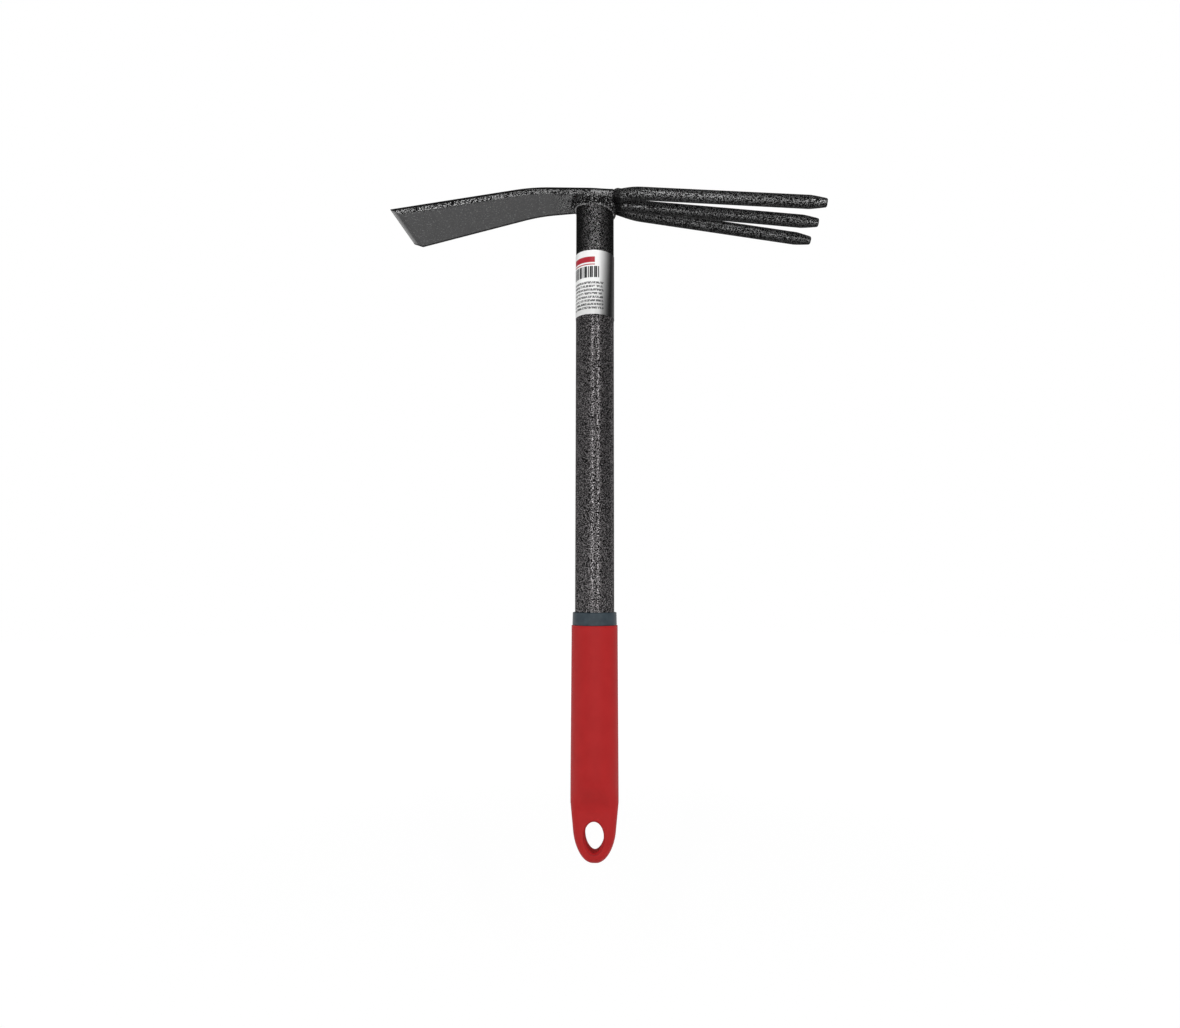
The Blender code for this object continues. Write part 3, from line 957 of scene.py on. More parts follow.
@dataclass(frozen=True)
class PrintedFilm:
    """White film with a plain red stripe, a row of bars and thin rules, and painted shade down one side in a
    dark, partly metallic colour.

    The print is laid out by level, up from the film's foot, and along, round the tube from its front.
    """

    name: str
    foot: float
    radius: float
    skew: float
    height: float = 38.0
    white: Colour = (0.875, 0.875, 0.870)
    darker_foot: Colour = (0.400, 0.400, 0.395)
    darker_foot_share: float = 0.35
    darker_foot_reach: float = 0.55
    silver: Colour = (0.030, 0.030, 0.031)
    mottle: Colour = (0.006, 0.006, 0.006)
    mottle_scale: float = 1.6
    mottle_levels: Span = (0.56, 0.42)
    mottle_turn: Span = (0.45, 0.75)
    mottle_share: float = 0.7
    red: Colour = (0.42, 0.020, 0.035)
    ink: Colour = (0.035, 0.035, 0.037)
    rule: Colour = (0.060, 0.060, 0.062)
    soft: float = 0.12
    left: float = -14.5
    stripe: Span = (28.8, 33.6)
    stripe_right: float = 0.8
    thin_stripe: float = 0.6
    thick_stripe: float = 1.5
    bars: Span = (21.4, 28.0)
    bar_right: float = 3.2
    bar_pitch: float = 1.15
    bar_edge: Span = (0.31, 0.25)
    wide_pitch: float = 3.105
    wide_edge: Span = (0.20, 0.17)
    rules: Span = (2.6, 19.4)
    rule_pitch: float = 2.1
    rule_edge: Span = (0.36, 0.26)
    rule_cover: float = 0.95
    ragged_scale: float = 0.4
    dash_scale: Point = (2.3, 2.3, 1.0)
    dash_levels: Span = (0.40, 0.48)
    rule_right: Span = (3.0, 8.0)
    side_shade_turn: Span = (0.14, 1.14)
    side_shade_end: Span = (2.5, 1.7)
    side_shade_lean: float = 0.20
    side_shade_metal: float = 0.6
    grain: float = 1.3
    relief: float = 0.000012

    def material(self) -> bpy.types.Material:
        """Lay out the print on the film.

        Returns:
            The material.
        """
        recipe = Recipe.named(self.name)
        place = recipe.place()
        across, deep, height = place.split()
        turn = recipe.math("ARCTAN2", across, 0.0 - deep)
        along = turn * self.radius
        level = height - self.foot + across * math.tan(self.skew)
        # Painted shade: round its right side the film turns to a dark, partly metallic colour with darker
        # mottle.
        fade = turn + (1.0 - level / self.height) * self.side_shade_lean
        side_shade = fade.rise(*self.side_shade_turn) * turn.rise(*self.side_shade_end)
        mottle = place.noise(self.mottle_scale, detail=0.0).rise(*self.mottle_levels)
        mottle = mottle * fade.rise(*self.mottle_turn) * self.mottle_share
        # The film grows darker towards its foot.
        darker_foot = level.rise(self.height * self.darker_foot_reach, 0.0) * self.darker_foot_share
        colour = side_shade.blend(darker_foot.blend(self.white, self.darker_foot), mottle.blend(self.silver, self.mottle))
        colour = (self._rules(place, along, level) * self.rule_cover).blend(colour, self.rule)
        colour = self._bars(along, level).blend(colour, self.ink)
        colour = self._stripe(along, level).blend(colour, self.red)
        grain = place.noise(self.grain, detail=2.0)
        return recipe.surface(colour, Roughness=grain * 0.1 + 0.28, Metallic=side_shade * self.side_shade_metal,
                              Normal=recipe.bump(grain, self.relief), Specular_IOR_Level=0.3)

    def _stripe(self, along: Value, level: Value) -> Value:
        """A plain stripe with a thin one under it.

        Args:
            along: The place round the tube.
            level: The place up the film.

        Returns:
            The ink's share.
        """
        low, high = self.stripe
        thick = level.band(low + self.thick_stripe, high, self.soft)
        thin = level.band(low, low + self.thin_stripe, self.soft)
        return (thick + thin) * along.band(self.left, self.stripe_right, self.soft)

    def _bars(self, along: Value, level: Value) -> Value:
        """A row of even upright bars with a wider one between them here and there.

        Args:
            along: The place round the tube.
            level: The place up the film.

        Returns:
            The ink's share.
        """
        even, wide = along.stroke(self.bar_pitch), along.stroke(self.wide_pitch)
        bars = even.rise(*self.bar_edge).most(wide.rise(*self.wide_edge))
        return bars * level.band(*self.bars, self.soft) * along.band(self.left, self.bar_right, 0.1)

    def _rules(self, place: Value, along: Value, level: Value) -> Value:
        """Thin rules, broken into short dashes, that end ragged on the right.

        Args:
            place: The point on the film.
            along: The place round the tube.
            level: The place up the film.

        Returns:
            The ink's share.
        """
        near, far = self.rule_right
        ragged = place.vector("MULTIPLY", (0.0, 0.0, 1.0)).noise(self.ragged_scale, detail=0.0)
        right = ragged * (far - near) + near
        block = level.band(*self.rules, 0.1) * (along - right).rise(0.2, -0.2)
        dashes = place.vector("MULTIPLY", self.dash_scale).noise(1.0, detail=1.0).rise(*self.dash_levels)
        lines = (level - self.rules[0]).stroke(self.rule_pitch).rise(*self.rule_edge)
        return lines * block * dashes * along.rise(self.left, self.left + 0.3)


@dataclass(frozen=True)
class MouldedPlastic:
    """Satin slate moulding with a fine spark-eroded grain."""

    name: str
    colour: Colour = (0.028, 0.041, 0.051)
    worn: Colour = (0.042, 0.059, 0.071)
    grain: float = 5.0
    cloud: float = 0.35
    cloud_share: float = 0.7
    levels: Span = (0.35, 0.75)
    rough: float = 0.46
    rough_grain: float = 0.2
    relief: float = 0.00002
    gloss: float = 0.25

    def material(self) -> bpy.types.Material:
        """Lay out the finish.

        Returns:
            The material.
        """
        recipe = Recipe.named(self.name)
        place = recipe.place()
        grain = place.noise(self.grain, detail=3.0, rough=0.6)
        cloud = place.noise(self.cloud, detail=2.0)
        wear = cloud * self.cloud_share + grain * (1.0 - self.cloud_share)
        return recipe.surface(wear.rise(*self.levels).blend(self.colour, self.worn),
                              Roughness=(grain - 0.5) * self.rough_grain + self.rough,
                              Normal=recipe.bump(grain, self.relief), Specular_IOR_Level=self.gloss)


@dataclass(frozen=True)
class SoftRubber:
    """Matt red rubber with a skin-fine grain; the hang hole's wall is painted lighter against its shade, with
    a thin line of painted shade round its rim.

    The hole is told by its middle's height, its half width, and its rise and fall from there.
    """

    name: str
    hole_middle: float
    hole_half_width: float
    hole_rise: float
    hole_fall: float
    colour: Colour = (0.385, 0.0130, 0.0135)
    deep: Colour = (0.354, 0.0105, 0.0110)
    painted_wall_light: Colour = (0.430, 0.0130, 0.0150)
    shade: Colour = (0.120, 0.0020, 0.0045)
    grain: float = 4.0
    cloud: float = 0.12
    cloud_share: float = 0.75
    levels: Span = (0.3, 0.7)
    wall: Span = (1.08, 1.04)
    lip: Band = (1.05, 1.12, 0.03)
    rim_shade_share: float = 0.5
    rough: float = 0.56
    wall_rough: float = 0.35
    rough_grain: float = 0.25
    rough_cloud: float = 0.1
    relief: float = 0.00003
    gloss: float = 0.18

    def material(self) -> bpy.types.Material:
        """Lay out the finish.

        Returns:
            The material.
        """
        recipe = Recipe.named(self.name)
        place = recipe.place()
        grain = place.noise(self.grain, detail=3.0, rough=0.6)
        cloud = place.noise(self.cloud, detail=3.0)
        wear = cloud * self.cloud_share + grain * (1.0 - self.cloud_share)
        away = self._hole_distance(place)
        wall = away.rise(*self.wall)
        # Painted light on the hole's wall, and a thin line of painted shade round its rim.
        colour = wall.blend(wear.rise(*self.levels).blend(self.deep, self.colour), self.painted_wall_light)
        colour = (away.band(*self.lip) * self.rim_shade_share).blend(colour, self.shade)
        rough = (grain - 0.5) * self.rough_grain + (cloud - 0.5) * self.rough_cloud
        rough = rough + wall * self.wall_rough + self.rough
        return recipe.surface(colour, Roughness=rough, Normal=recipe.bump(grain, self.relief),
                              Specular_IOR_Level=self.gloss)

    def _hole_distance(self, place: Value) -> Value:
        """How far a place is from the hole's middle, as a share of the way to its outline.

        Args:
            place: The point on the piece.

        Returns:
            The share, 1 on the outline.
        """
        across, _, height = place.split()
        above = height - self.hole_middle
        reach = above.rise(0.5, -0.5) * (self.hole_fall - self.hole_rise) + self.hole_rise
        wide, tall = across / self.hole_half_width, above / reach
        return place.recipe.math("SQRT", wide * wide + tall * tall)


@dataclass(frozen=True)
class StudioPaper:
    """White paper that shows pure white behind the tool and still holds a soft shadow."""

    name: str
    tone: float = 0.82
    glow: float = 1.08
    lift: float = 0.85
    edge: Span = (350.0, 1600.0)

    def material(self) -> bpy.types.Material:
        """Lay out the paper.

        Returns:
            The material.
        """
        recipe = Recipe.named(self.name)
        paper = recipe.node("ShaderNodeBsdfDiffuse", None, {"Color": (self.tone,) * 3 + (1.0,)})
        white = recipe.node("ShaderNodeEmission", None, {"Strength": self.glow})
        away = recipe.node("ShaderNodeVectorMath", {"operation": "LENGTH"}, {0: recipe.place()}, "Value")
        share = seen_background(recipe) * (away.rise(*self.edge) * (1.0 - self.lift) + self.lift)
        return recipe.output(recipe.node("ShaderNodeMixShader", None, {0: share, 1: paper, 2: white}))


def deliver(piece: bpy.types.Object, material: bpy.types.Material, slot: Slot, *nodes: str) -> None:
    """Dress a finished piece and set it on the frame.

    Args:
        piece: The piece.
        material: Its finish.
        slot: The record's slot for that finish; not used.
        nodes: The nodes of the frame that it stands for.
    """
    piece.data.materials.clear()
    piece.data.materials.append(material)
    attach(piece, BODY)
    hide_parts(*nodes)
    LOG.info("%s: %d faces for %s", piece.name, len(piece.data.polygons), ", ".join(nodes))


@dataclass
class Head:
    """The steel head: the hoe's plate, three tines and the welds that join them to the tube."""

    clearance: float = 0.0003
    edge_round: float = 0.0005
    foot_round: float = 0.0004
    round_steps: int = 4
    round_past: float = math.radians(50.0)
    bend_start: float = 0.025
    bend_radius: float = 0.112
    bend_steps: int = 16
    drop: float = math.radians(10.0)
    grind: float = 0.0055
    land: float = 0.0006
    blade_steps: int = 4
    tang_width: float = 0.0222
    pinch: float = 0.0011
    pinch_start: float = -0.004
    pinch_steps: int = 7
    rod: float = 0.0073
    rod_sides: int = 40
    reach: float = 0.1286
    tip: float = 0.0046
    tip_taper: float = 0.0095
    tip_power: float = 1.2
    tip_steps: int = 6
    tip_round: float = 0.0008
    elbow_from_root: float = 0.0106
    elbow_spread: float = 0.0130
    elbow_radius: float = 0.024
    elbow_steps: int = 12
    tip_spread: float = 0.02346
    fall: float = 0.0168
    middle_drop: float = 0.0015
    root_sink: float = 0.00025
    hoe_toe: float = 0.0042
    flank_toe: float = 0.0058
    tine_toe: float = 0.0086
    flank_leg: float = 0.0010
    hoe_leg: float = 0.0034
    tine_leg: float = 0.0013
    corner_leg: float = 0.0036
    drop_pitch: float = 0.0015
    drop_lap: float = 0.95
    bead_gap: float = 0.0001
    bead_grid: float = 0.00025
    bore_sides: int = 128
    root_lap: float = 0.0010
    root_inset: float = 0.0008
    root_grid: float = 0.0002

    def __post_init__(self) -> None:
        """Read the places that the frame holds."""
        self.plate = Extent.of("hoe_blade")
        self.tube = Extent.of("handle_tube")
        self.underside = self.tube.high.z + self.clearance
        self.thickness = self.plate.high.z - self.underside
        self.root_x = Extent.of("tine_middle").low.x
        self.root_z = self.plate.high.z - self.root_sink - self.rod / 2

    def build(self) -> None:
        """Model and dress every piece of the head."""
        top = mm(self.plate.high.z)
        groove = {"shade_below": True, "root": mm(self.root_x), "top": top}
        # Lit and shaded copies of one enamel: the front tine's is lighter, and the middle and back tines take
        # a darker one as painted shade.
        lit_tine = TineEnamel("near_tine_enamel", skin=(0.112, 0.112, 0.113), fleck=(0.255, 0.255, 0.256),
                               **groove).material()
        shaded_tine = TineEnamel("far_tine_enamel", skin=(0.092, 0.092, 0.093), fleck=(0.205, 0.205, 0.206),
                              **groove).material()
        turn_in = self.bend_start + (self.bend_radius + self.thickness / 2) * math.tan(self.drop / 2)
        plate = PlateEnamel("plate_enamel", edge=mm(self.plate.low.x), tang=mm(self.tang_width),
                            flare=self._widening(), top=top, bend=mm(turn_in), slope=math.tan(self.drop))
        weld = WeldEnamel("weld_enamel", top=mm(self.underside), radius=mm(self.tube.high.x),
                          toes=(mm(self.hoe_toe), mm(self.flank_toe), mm(self.tine_toe)))
        cap = HammeredEnamel("head_enamel", shade_below=True)
        deliver(self.hoe_plate(), plate.material(), Slot.ENAMEL, "hoe_blade")
        for name, side in (("front", -1), ("middle", 0), ("back", 1)):
            deliver(self.tine(name, side), lit_tine if side < 0 else shaded_tine, Slot.ENAMEL, f"tine_{name}")
        deliver(self.tube_bead(), weld.material(), Slot.ENAMEL, "tube_weld")
        deliver(self.root_bead(), cap.material(), Slot.ENAMEL, "tine_root_weld")

    def _widening(self) -> float:
        """How much wider the plate gets for each unit of its length."""
        return (self.plate.size.y - self.tang_width) / -self.plate.low.x

    def half_width(self, x: float) -> float:
        """Half of the plate's width at a distance along it, drawn in a little towards the tang's end."""
        share = progress(x, self.pinch_start, self.plate.high.x)
        return (self.tang_width - self._widening() * x) / 2 - self.pinch * share ** 2 * (3 - 2 * share)

    def hoe_plate(self) -> bpy.types.Object:
        """One flat blank: bent down, widened to its edge and ground from below.

        Returns:
            The plate.
        """
        width = self.tang_width / 2
        bench = Bench.block("hoe_plate", (-self.bend_start, -width, self.underside),
                            (self.plate.high.x, width, self.plate.high.z))
        for cut in range(self.pinch_steps):
            x = self.pinch_start + (self.plate.high.x - self.pinch_start) * cut / self.pinch_steps
            bench.pick_all().slice((x, 0, 0), (1, 0, 0))
        bench.pick(lambda face: face.normal.x < -0.9, Kind.FACE)
        pivot = (-self.bend_start, 0.0, self.underside + self.thickness / 2 - self.bend_radius)
        bench.spin(-self.drop, self.bend_steps, pivot, (0, 1, 0))
        end = bench.middle()
        along = Vector((-math.cos(self.drop), 0.0, -math.sin(self.drop)))
        up = Vector((-math.sin(self.drop), 0.0, math.cos(self.drop)))
        run = (end.x - self.plate.low.x) / math.cos(self.drop) - self.thickness / 2 * math.tan(self.drop)
        edge = end + along * run
        for _ in range(self.blade_steps):
            bench.extrude(along * run / self.blade_steps)
        self._flare(bench)
        bench.clean()
        for rounded, upper in ((self.edge_round, True), (self.foot_round, False)):
            bench.pick(lambda line: line.calc_face_angle(0.0) > self.round_past
                       and any((vert.co - edge).dot(along) < -NEAR for vert in line.verts)
                       and any(face.normal.z > 0.8 for face in line.link_faces) is upper, Kind.EDGE)
            bench.bevel(rounded, self.round_steps)
        rise = self.thickness - self.land
        lip = edge + up * (self.thickness / 2 - self.land)
        bench.clean().slice(lip, along * rise - up * self.grind, keep_below=True, fill=True)
        bench.clean().finish(sharp=25)
        return bench.apply("WEIGHTED_NORMAL", keep_sharp=True).close()

    def _flare(self, bench: Bench) -> None:
        """Widen each section of the plate from the tang to the edge.

        Args:
            bench: The plate's bench.
        """
        bench.pick_all()
        for x in sorted({round(place.x, 7) for place in bench.chosen()}):
            bench.pick_section("x", x)
            bench.scale((1, 2 * self.half_width(x) / self.tang_width, 1), (x, 0, 0))

    def tine(self, name: str, side: int) -> bpy.types.Object:
        """A round rod, modelled level and then tipped down about its root.

        Args:
            name: Its place: front, middle or back.
            side: -1, 0 or 1 for that place.

        Returns:
            The tine.
        """
        lowered = 0.0 if side else self.middle_drop
        tilt = math.atan2(self.fall - lowered, self.reach - self.root_x)
        level = 1 / math.cos(tilt)
        pitch = math.sqrt((self.rod + self.clearance) ** 2 - self.middle_drop ** 2)
        root = Vector((self.root_x, side * pitch, self.root_z - lowered))
        elbow = root + Vector((self.elbow_from_root * level, side * (self.elbow_spread - pitch), 0))
        tip = root + Vector(((self.reach - self.root_x) * level, side * (self.tip_spread - pitch), 0))
        first, last = (elbow - root).normalized(), (tip - elbow).normalized()
        heading = math.atan2(first.y, first.x)
        bend = math.atan2(last.y, last.x) - heading
        set_back = self.elbow_radius * math.tan(abs(bend) / 2)
        bench = Bench.disc(f"tine_{name}_rod", self.rod / 2, self.rod_sides, root, (0, math.pi / 2, heading))
        bench.extrude(first * ((elbow - root).length - set_back))
        if side:
            inward = Vector((-first.y, first.x, 0)) * math.copysign(self.elbow_radius, bend)
            bench.spin(bend, self.elbow_steps, bench.middle() + inward, (0, 0, 1))
        bench.extrude(last * ((tip - elbow).length - set_back - self.tip_taper))
        self._draw_tip(bench, last)
        bench.pick(lambda face: (face.calc_center_median() - root).length < NEAR, Kind.FACE)
        bench.bevel(self.tip_round, segments=3).clean().turn(tilt, "Y", root)
        return bench.finish(sharp=30)

    def _draw_tip(self, bench: Bench, run: Vector) -> None:
        """Draw the rod's end down to its tip and round the rim.

        Args:
            bench: The rod's bench, with its end selected.
            run: The way that the rod runs.
        """
        shrink = self.tip / self.rod - 1
        shares = [(step / self.tip_steps) ** self.tip_power for step in range(self.tip_steps + 1)]
        widths = [1 + shrink * share for share in shares]
        for before, after in zip(widths, widths[1:]):
            bench.extrude(run * self.tip_taper / self.tip_steps)
            bench.scale((after / before,) * 3, bench.middle())
        bench.bevel(self.tip_round, segments=4)

    def tube_bead(self) -> bpy.types.Object:
        """The weld bead round the tube's end, laid drop by drop.

        Returns:
            The bead.
        """
        top = self.underside - self.bead_gap
        radius = self.tube.high.x
        picker = random.Random(7)
        count = round(math.tau * radius / self.drop_pitch)
        drops = []
        for index in range(count):
            angle = math.tau * index / count
            size = 1 + picker.uniform(-0.05, 0.05)
            centre = (radius * math.cos(angle), radius * math.sin(angle), top)
            turn = (0, picker.uniform(-0.06, 0.06), angle + picker.uniform(-0.08, 0.08))
            radii = (self._leg(angle) * size, self.drop_pitch * self.drop_lap, self._toe(angle) * size)
            drops.append((centre, turn, radii))
        bench = self._melt("tube_fillet", drops, self.bead_grid)
        bench.reopen().slice((0, 0, top), (0, 0, 1), keep_below=True, fill=True)
        bore = Bench.disc("bore", radius - self.clearance, self.bore_sides, (0, 0, top - 2 * self.tine_toe))
        bore.extrude((0, 0, 4 * self.tine_toe)).clean()
        return bench.combine(bore.close(), "DIFFERENCE").finish(sharp=60)

    def _melt(self, name: str, drops: list[tuple[Point, Point, Point]], grid: float) -> Bench:
        """Melt drops of weld metal into one bead.

        Args:
            name: The bead's name.
            drops: Each drop's centre, turn and half lengths.
            grid: How finely they are melted together.

        Returns:
            The bead's bench.
        """
        bench = Bench.joined(name, [Bench.drop("drop", *drop).close() for drop in drops])
        bench.apply("REMESH", mode="VOXEL", voxel_size=grid)
        return bench.apply("SMOOTH", factor=0.5, iterations=2)

    def _toe(self, angle: float) -> float:
        """How far down the tube the bead reaches at an angle from +X."""
        lengthwise = self.tine_toe if math.cos(angle) > 0 else self.hoe_toe
        return self.flank_toe + (lengthwise - self.flank_toe) * math.cos(angle) ** 2

    def _leg(self, angle: float) -> float:
        """How far out under the plate the bead reaches.

        Args:
            angle: The place round the tube, as an angle from +X.

        Returns:
            The reach.
        """
        share = math.cos(angle) ** 2
        if math.cos(angle) <= 0:
            return self.flank_leg + (self.hoe_leg - self.flank_leg) * share
        leg = self.flank_leg + (self.tine_leg - self.flank_leg) * share
        return leg + (self.corner_leg - leg) * math.sin(2 * angle) ** 2

    def root_bead(self) -> bpy.types.Object:
        """The cap weld over the three roots, laid drop by drop across them.

        Returns:
            The bead.
        """
        weld = Extent.of("tine_root_weld")
        picker = random.Random(11)
        half = weld.size / 2 + Vector((self.root_lap, 0, 0))
        middle = (weld.low + weld.high) / 2
        count = round(weld.size.y / self.drop_pitch) + 1
        drops = []
        for index in range(count):
            share = 2 * index / (count - 1) - 1
            centre = (middle.x, middle.y + share * (half.y - self.root_inset), middle.z)
            turn = (0, 0, picker.uniform(-0.12, 0.12))
            radii = (half.x, self.drop_pitch * self.drop_lap, half.z * (1 + picker.uniform(-0.04, 0.0)))
            drops.append((centre, turn, radii))
        return self._melt("root_fillet", drops, self.root_grid).finish(sharp=60)


@dataclass
class Handle:
    """The steel tube with the film label wrapped round it."""

    wall: float = 0.0012
    sides: int = 128
    stages: int = 12
    seam: float = 0.0012
    film_gap: float = 0.00006
    film: float = 0.00018
    film_sides: int = 160
    skew: float = math.radians(1.8)

    def __post_init__(self) -> None:
        """Read the places that the frame holds."""
        self.tube = Extent.of("handle_tube")
        self.sleeve = Extent.of("label_sleeve")
        self.lean = self.tube.high.x * math.tan(self.skew)

    def build(self) -> None:
        """Model and dress the tube and its label."""
        steel = TubeEnamel("tube_enamel", label_top=mm(self.sleeve.high.z))
        film = PrintedFilm("printed_film", mm(self.sleeve.low.z + self.lean), mm(self.tube.high.x), self.skew)
        deliver(self.shaft(), steel.material(), Slot.ENAMEL, "handle_tube")
        deliver(self.label(), film.material(), Slot.FILM, "label_sleeve")

    def shaft(self) -> bpy.types.Object:
        """The tube, with its wall.

        Returns:
            The tube.
        """
        bench = Bench.disc("steel_tube", self.tube.high.x, self.sides, (0, 0, self.tube.low.z), filled=False)
        for _ in range(self.stages):
            bench.extrude((0, 0, self.tube.size.z / self.stages))
        return bench.clean().apply("SOLIDIFY", thickness=self.wall, offset=-1.0).finish(sharp=40)

    def label(self) -> bpy.types.Object:
        """The film, wrapped round the tube a little askew, with its seam at the back.

        Returns:
            The label.
        """
        low, high = self.sleeve.low.z, self.sleeve.high.z
        bench = Bench.disc("tube_label", self.tube.high.x + self.film_gap, self.film_sides, (0, 0, low),
                           filled=False)
        bench.extrude((0, 0, high - low))
        facing = Vector((math.sin(self.skew), 0, math.cos(self.skew)))
        for level, outwards in ((high - self.lean, facing), (low + self.lean, -facing)):
            bench.pick_all().slice((0, 0, level), outwards, keep_below=True)
        for side in (-1, 1):
            bench.pick(lambda face: face.calc_center_median().y > 0, Kind.FACE)
            bench.slice((side * self.seam / 2, 0, 0), (1, 0, 0))
        bench.pick(lambda face: face.calc_center_median().y > 0
                   and abs(face.calc_center_median().x) < self.seam / 2, Kind.FACE)
        bench.delete_faces().clean().apply("SOLIDIFY", thickness=self.film, offset=1.0)
        return bench.finish(sharp=40)


@dataclass
class Grip:
    """The two-shot grip: a hard core with a collar, and the soft sleeve moulded over it."""

    clearance: float = 0.0003
    core_wall: float = 0.00065
    core_floor: float = 0.0022
    core_sides: int = 128
    collar_proud: float = 0.0005
    collar_draft: float = 0.00017
    collar_round: float = 0.0005
    tongue_width: float = 0.014
    tongue_thickness: float = 0.0044
    tongue_length: float = 0.0210
    lip_round: float = 0.00045
    wall_top: float = 0.00066
    wall_foot: float = 0.00104
    rings: tuple[float, ...] = (0.036, 0.018, 0.0, -0.012, -0.024)
    taper_start: float = -0.0470
    side_taper: float = 0.098
    flat_start: float = -0.0315
    flat_end: float = -0.0525
    flat_steps: int = 20
    tab: float = 0.0096
    tab_steps: int = 6
    tab_edge: float = 0.0042
    nose: float = 0.0165
    nose_power: float = 2.4
    nose_steps: int = 30
    nose_end: float = 0.0003
    hole_top: float = -0.0567
    hole_height: float = 0.0166
    hole_width: float = 0.0106
    hole_widest: float = 0.0075
    toe_power: float = 1.8
    rim_round: float = 0.0012
    rim_steps: int = 6
    round_steps: int = 5
    sides: int = 96

    def __post_init__(self) -> None:
        """Read the places that the frame holds."""
        self.sleeve = Extent.of("grip_sleeve")
        self.core = Extent.of("grip_core")
        self.tube = Extent.of("handle_tube")
        self.bore = self.tube.high.x + self.clearance
        self.core_radius = self.bore + self.core_wall
        self.pocket = self.core_radius + self.clearance
        self.core_foot = self.tube.low.z - self.clearance - self.core_floor
        self.hole_fall = self.hole_height - self.hole_widest

    def build(self) -> None:
        """Model and dress the core and the sleeve."""
        rubber = SoftRubber("red_rubber", mm(self.hole_top - self.hole_widest), mm(self.hole_width / 2),
                            mm(self.hole_widest), mm(self.hole_fall))
        deliver(self.collar(), MouldedPlastic("slate_moulding").material(), Slot.CORE, "grip_core")
        deliver(self.soft_sleeve(), rubber.material(), Slot.RUBBER, "grip_sleeve")

    def _tongue(self, name: str, spare: float, top: float) -> bpy.types.Object:
        """The block of the core's tongue, or of its pocket in the sleeve.

        Args:
            name: The block's name.
            spare: How much larger it is than the tongue, on each side.
            top: Its top.

        Returns:
            The block.
        """
        x, y = self.tongue_width / 2 + spare, self.tongue_thickness / 2 + spare
        low = self.core_foot - self.tongue_length - spare
        return Bench.block(name, (-x, -y, low), (x, y, top)).close()

    def collar(self) -> bpy.types.Object:
        """The hard core, turned from its floor up to the collar and down its bore, with its tongue.

        Returns:
            The core.
        """
        collar = self.core_radius + self.collar_proud
        seat = self.sleeve.high.z + self.clearance
        bench = Bench.disc("grip_collar", self.core_radius, self.core_sides, (0, 0, self.core_foot))
        bench.pull_ring(seat, self.core_radius).pull_ring(seat, collar)
        for below, inset in rounded_corner(self.collar_round, self.round_steps):
            bench.pull_ring(self.core.high.z - below, collar - self.collar_draft - inset)
        bench.pull_ring(self.core.high.z, self.bore)
        bench.pull_ring(self.tube.low.z - self.clearance, self.bore)
        bench.clean()
        bench.combine(self._tongue("tongue", 0.0, self.core_foot + self.core_floor / 2), "UNION")
        return bench.finish(sharp=35)

    def half_width(self, z: float) -> float:
        """Half of the sleeve's width, seen from the front.

        Args:
            z: The height.

        Returns:
            The half width.
        """
        top, foot = self.pocket + self.wall_top, self.pocket + self.wall_foot
        if z > self.taper_start:
            return foot + (top - foot) * (z - self.taper_start) / (self.sleeve.high.z - self.taper_start)
        into_nose = progress(z, self.sleeve.low.z + self.nose, self.sleeve.low.z)
        width = foot - self.side_taper * (self.taper_start - z)
        return width * (1 - into_nose ** 2) ** (1 / self.nose_power)

    def half_depth(self, z: float) -> float:
        """Half of the sleeve's depth: round above, and a flat tab with a round end below.

        Args:
            z: The height.

        Returns:
            The half depth.
        """
        flat = (1 - math.cos(math.pi * progress(z, self.flat_start, self.flat_end))) / 2
        depth = self.half_width(max(z, self.flat_start)) * (1 - flat) + self.tab / 2 * flat
        into_edge = progress(z, self.sleeve.low.z + self.tab_edge, self.sleeve.low.z)
        return min(depth * math.sqrt(1 - into_edge ** 2), self.half_width(z))

    def soft_sleeve(self) -> bpy.types.Object:
        """The rubber sleeve: up its pocket, over the lip, and down the outside to the flat tab's nose.

        Returns:
            The sleeve.
        """
        top = self.sleeve.high.z
        lip = self.half_width(top)
        bench = Bench.disc("rubber_sleeve", self.pocket, self.sides, (0, 0, self.core_foot - self.clearance),
                           (0, 0, math.pi / self.sides))
        bench.pull_ring(top, self.pocket)
        for inset, below in rounded_corner(self.lip_round, self.round_steps):
            bench.pull_ring(top - below, lip - inset)
        for z in (*self.rings, self.flat_start):
            bench.pull_ring(z, self.half_width(z))
        self._draw_tab(bench)
        bench.clean()
        pocket = self._tongue("tongue_pocket", self.clearance, self.core_foot + self.clearance)
        bench.combine(pocket, "DIFFERENCE").combine(self._hang_hole(), "DIFFERENCE")
        return bench.finish(sharp=35)

    def _draw_tab(self, bench: Bench) -> None:
        """Pull the ring on down, and part its two halves as it flattens.

        Args:
            bench: The sleeve's bench, with the ring where it starts to flatten selected.
        """
        start = self.sleeve.low.z + self.nose
        levels = steps_between(self.flat_start, self.flat_end, self.flat_steps)
        levels += steps_between(self.flat_end, start, self.tab_steps)
        levels += [start - self.nose * math.sin(turn)
                   for turn in steps_between(0.0, math.pi / 2, self.nose_steps)[:-1]]
        levels.append(self.sleeve.low.z + self.nose * self.nose_end)
        above = self.flat_start
        for z in levels:
            bench.extrude((0, 0, z - above))
            grown = self.half_depth(z) / self.half_depth(above)
            before = self.half_width(above) - self.half_depth(above)
            after = self.half_width(z) - self.half_depth(z)
            for side in (-1, 1):
                bench.pick_section("z", z, lambda place, side=side: place.x * side > 0)
                bench.scale((grown, grown, 1), (side * before, 0, z))
                bench.move((side * (after - before), 0, 0))
            bench.pick_section("z", z)
            above = z

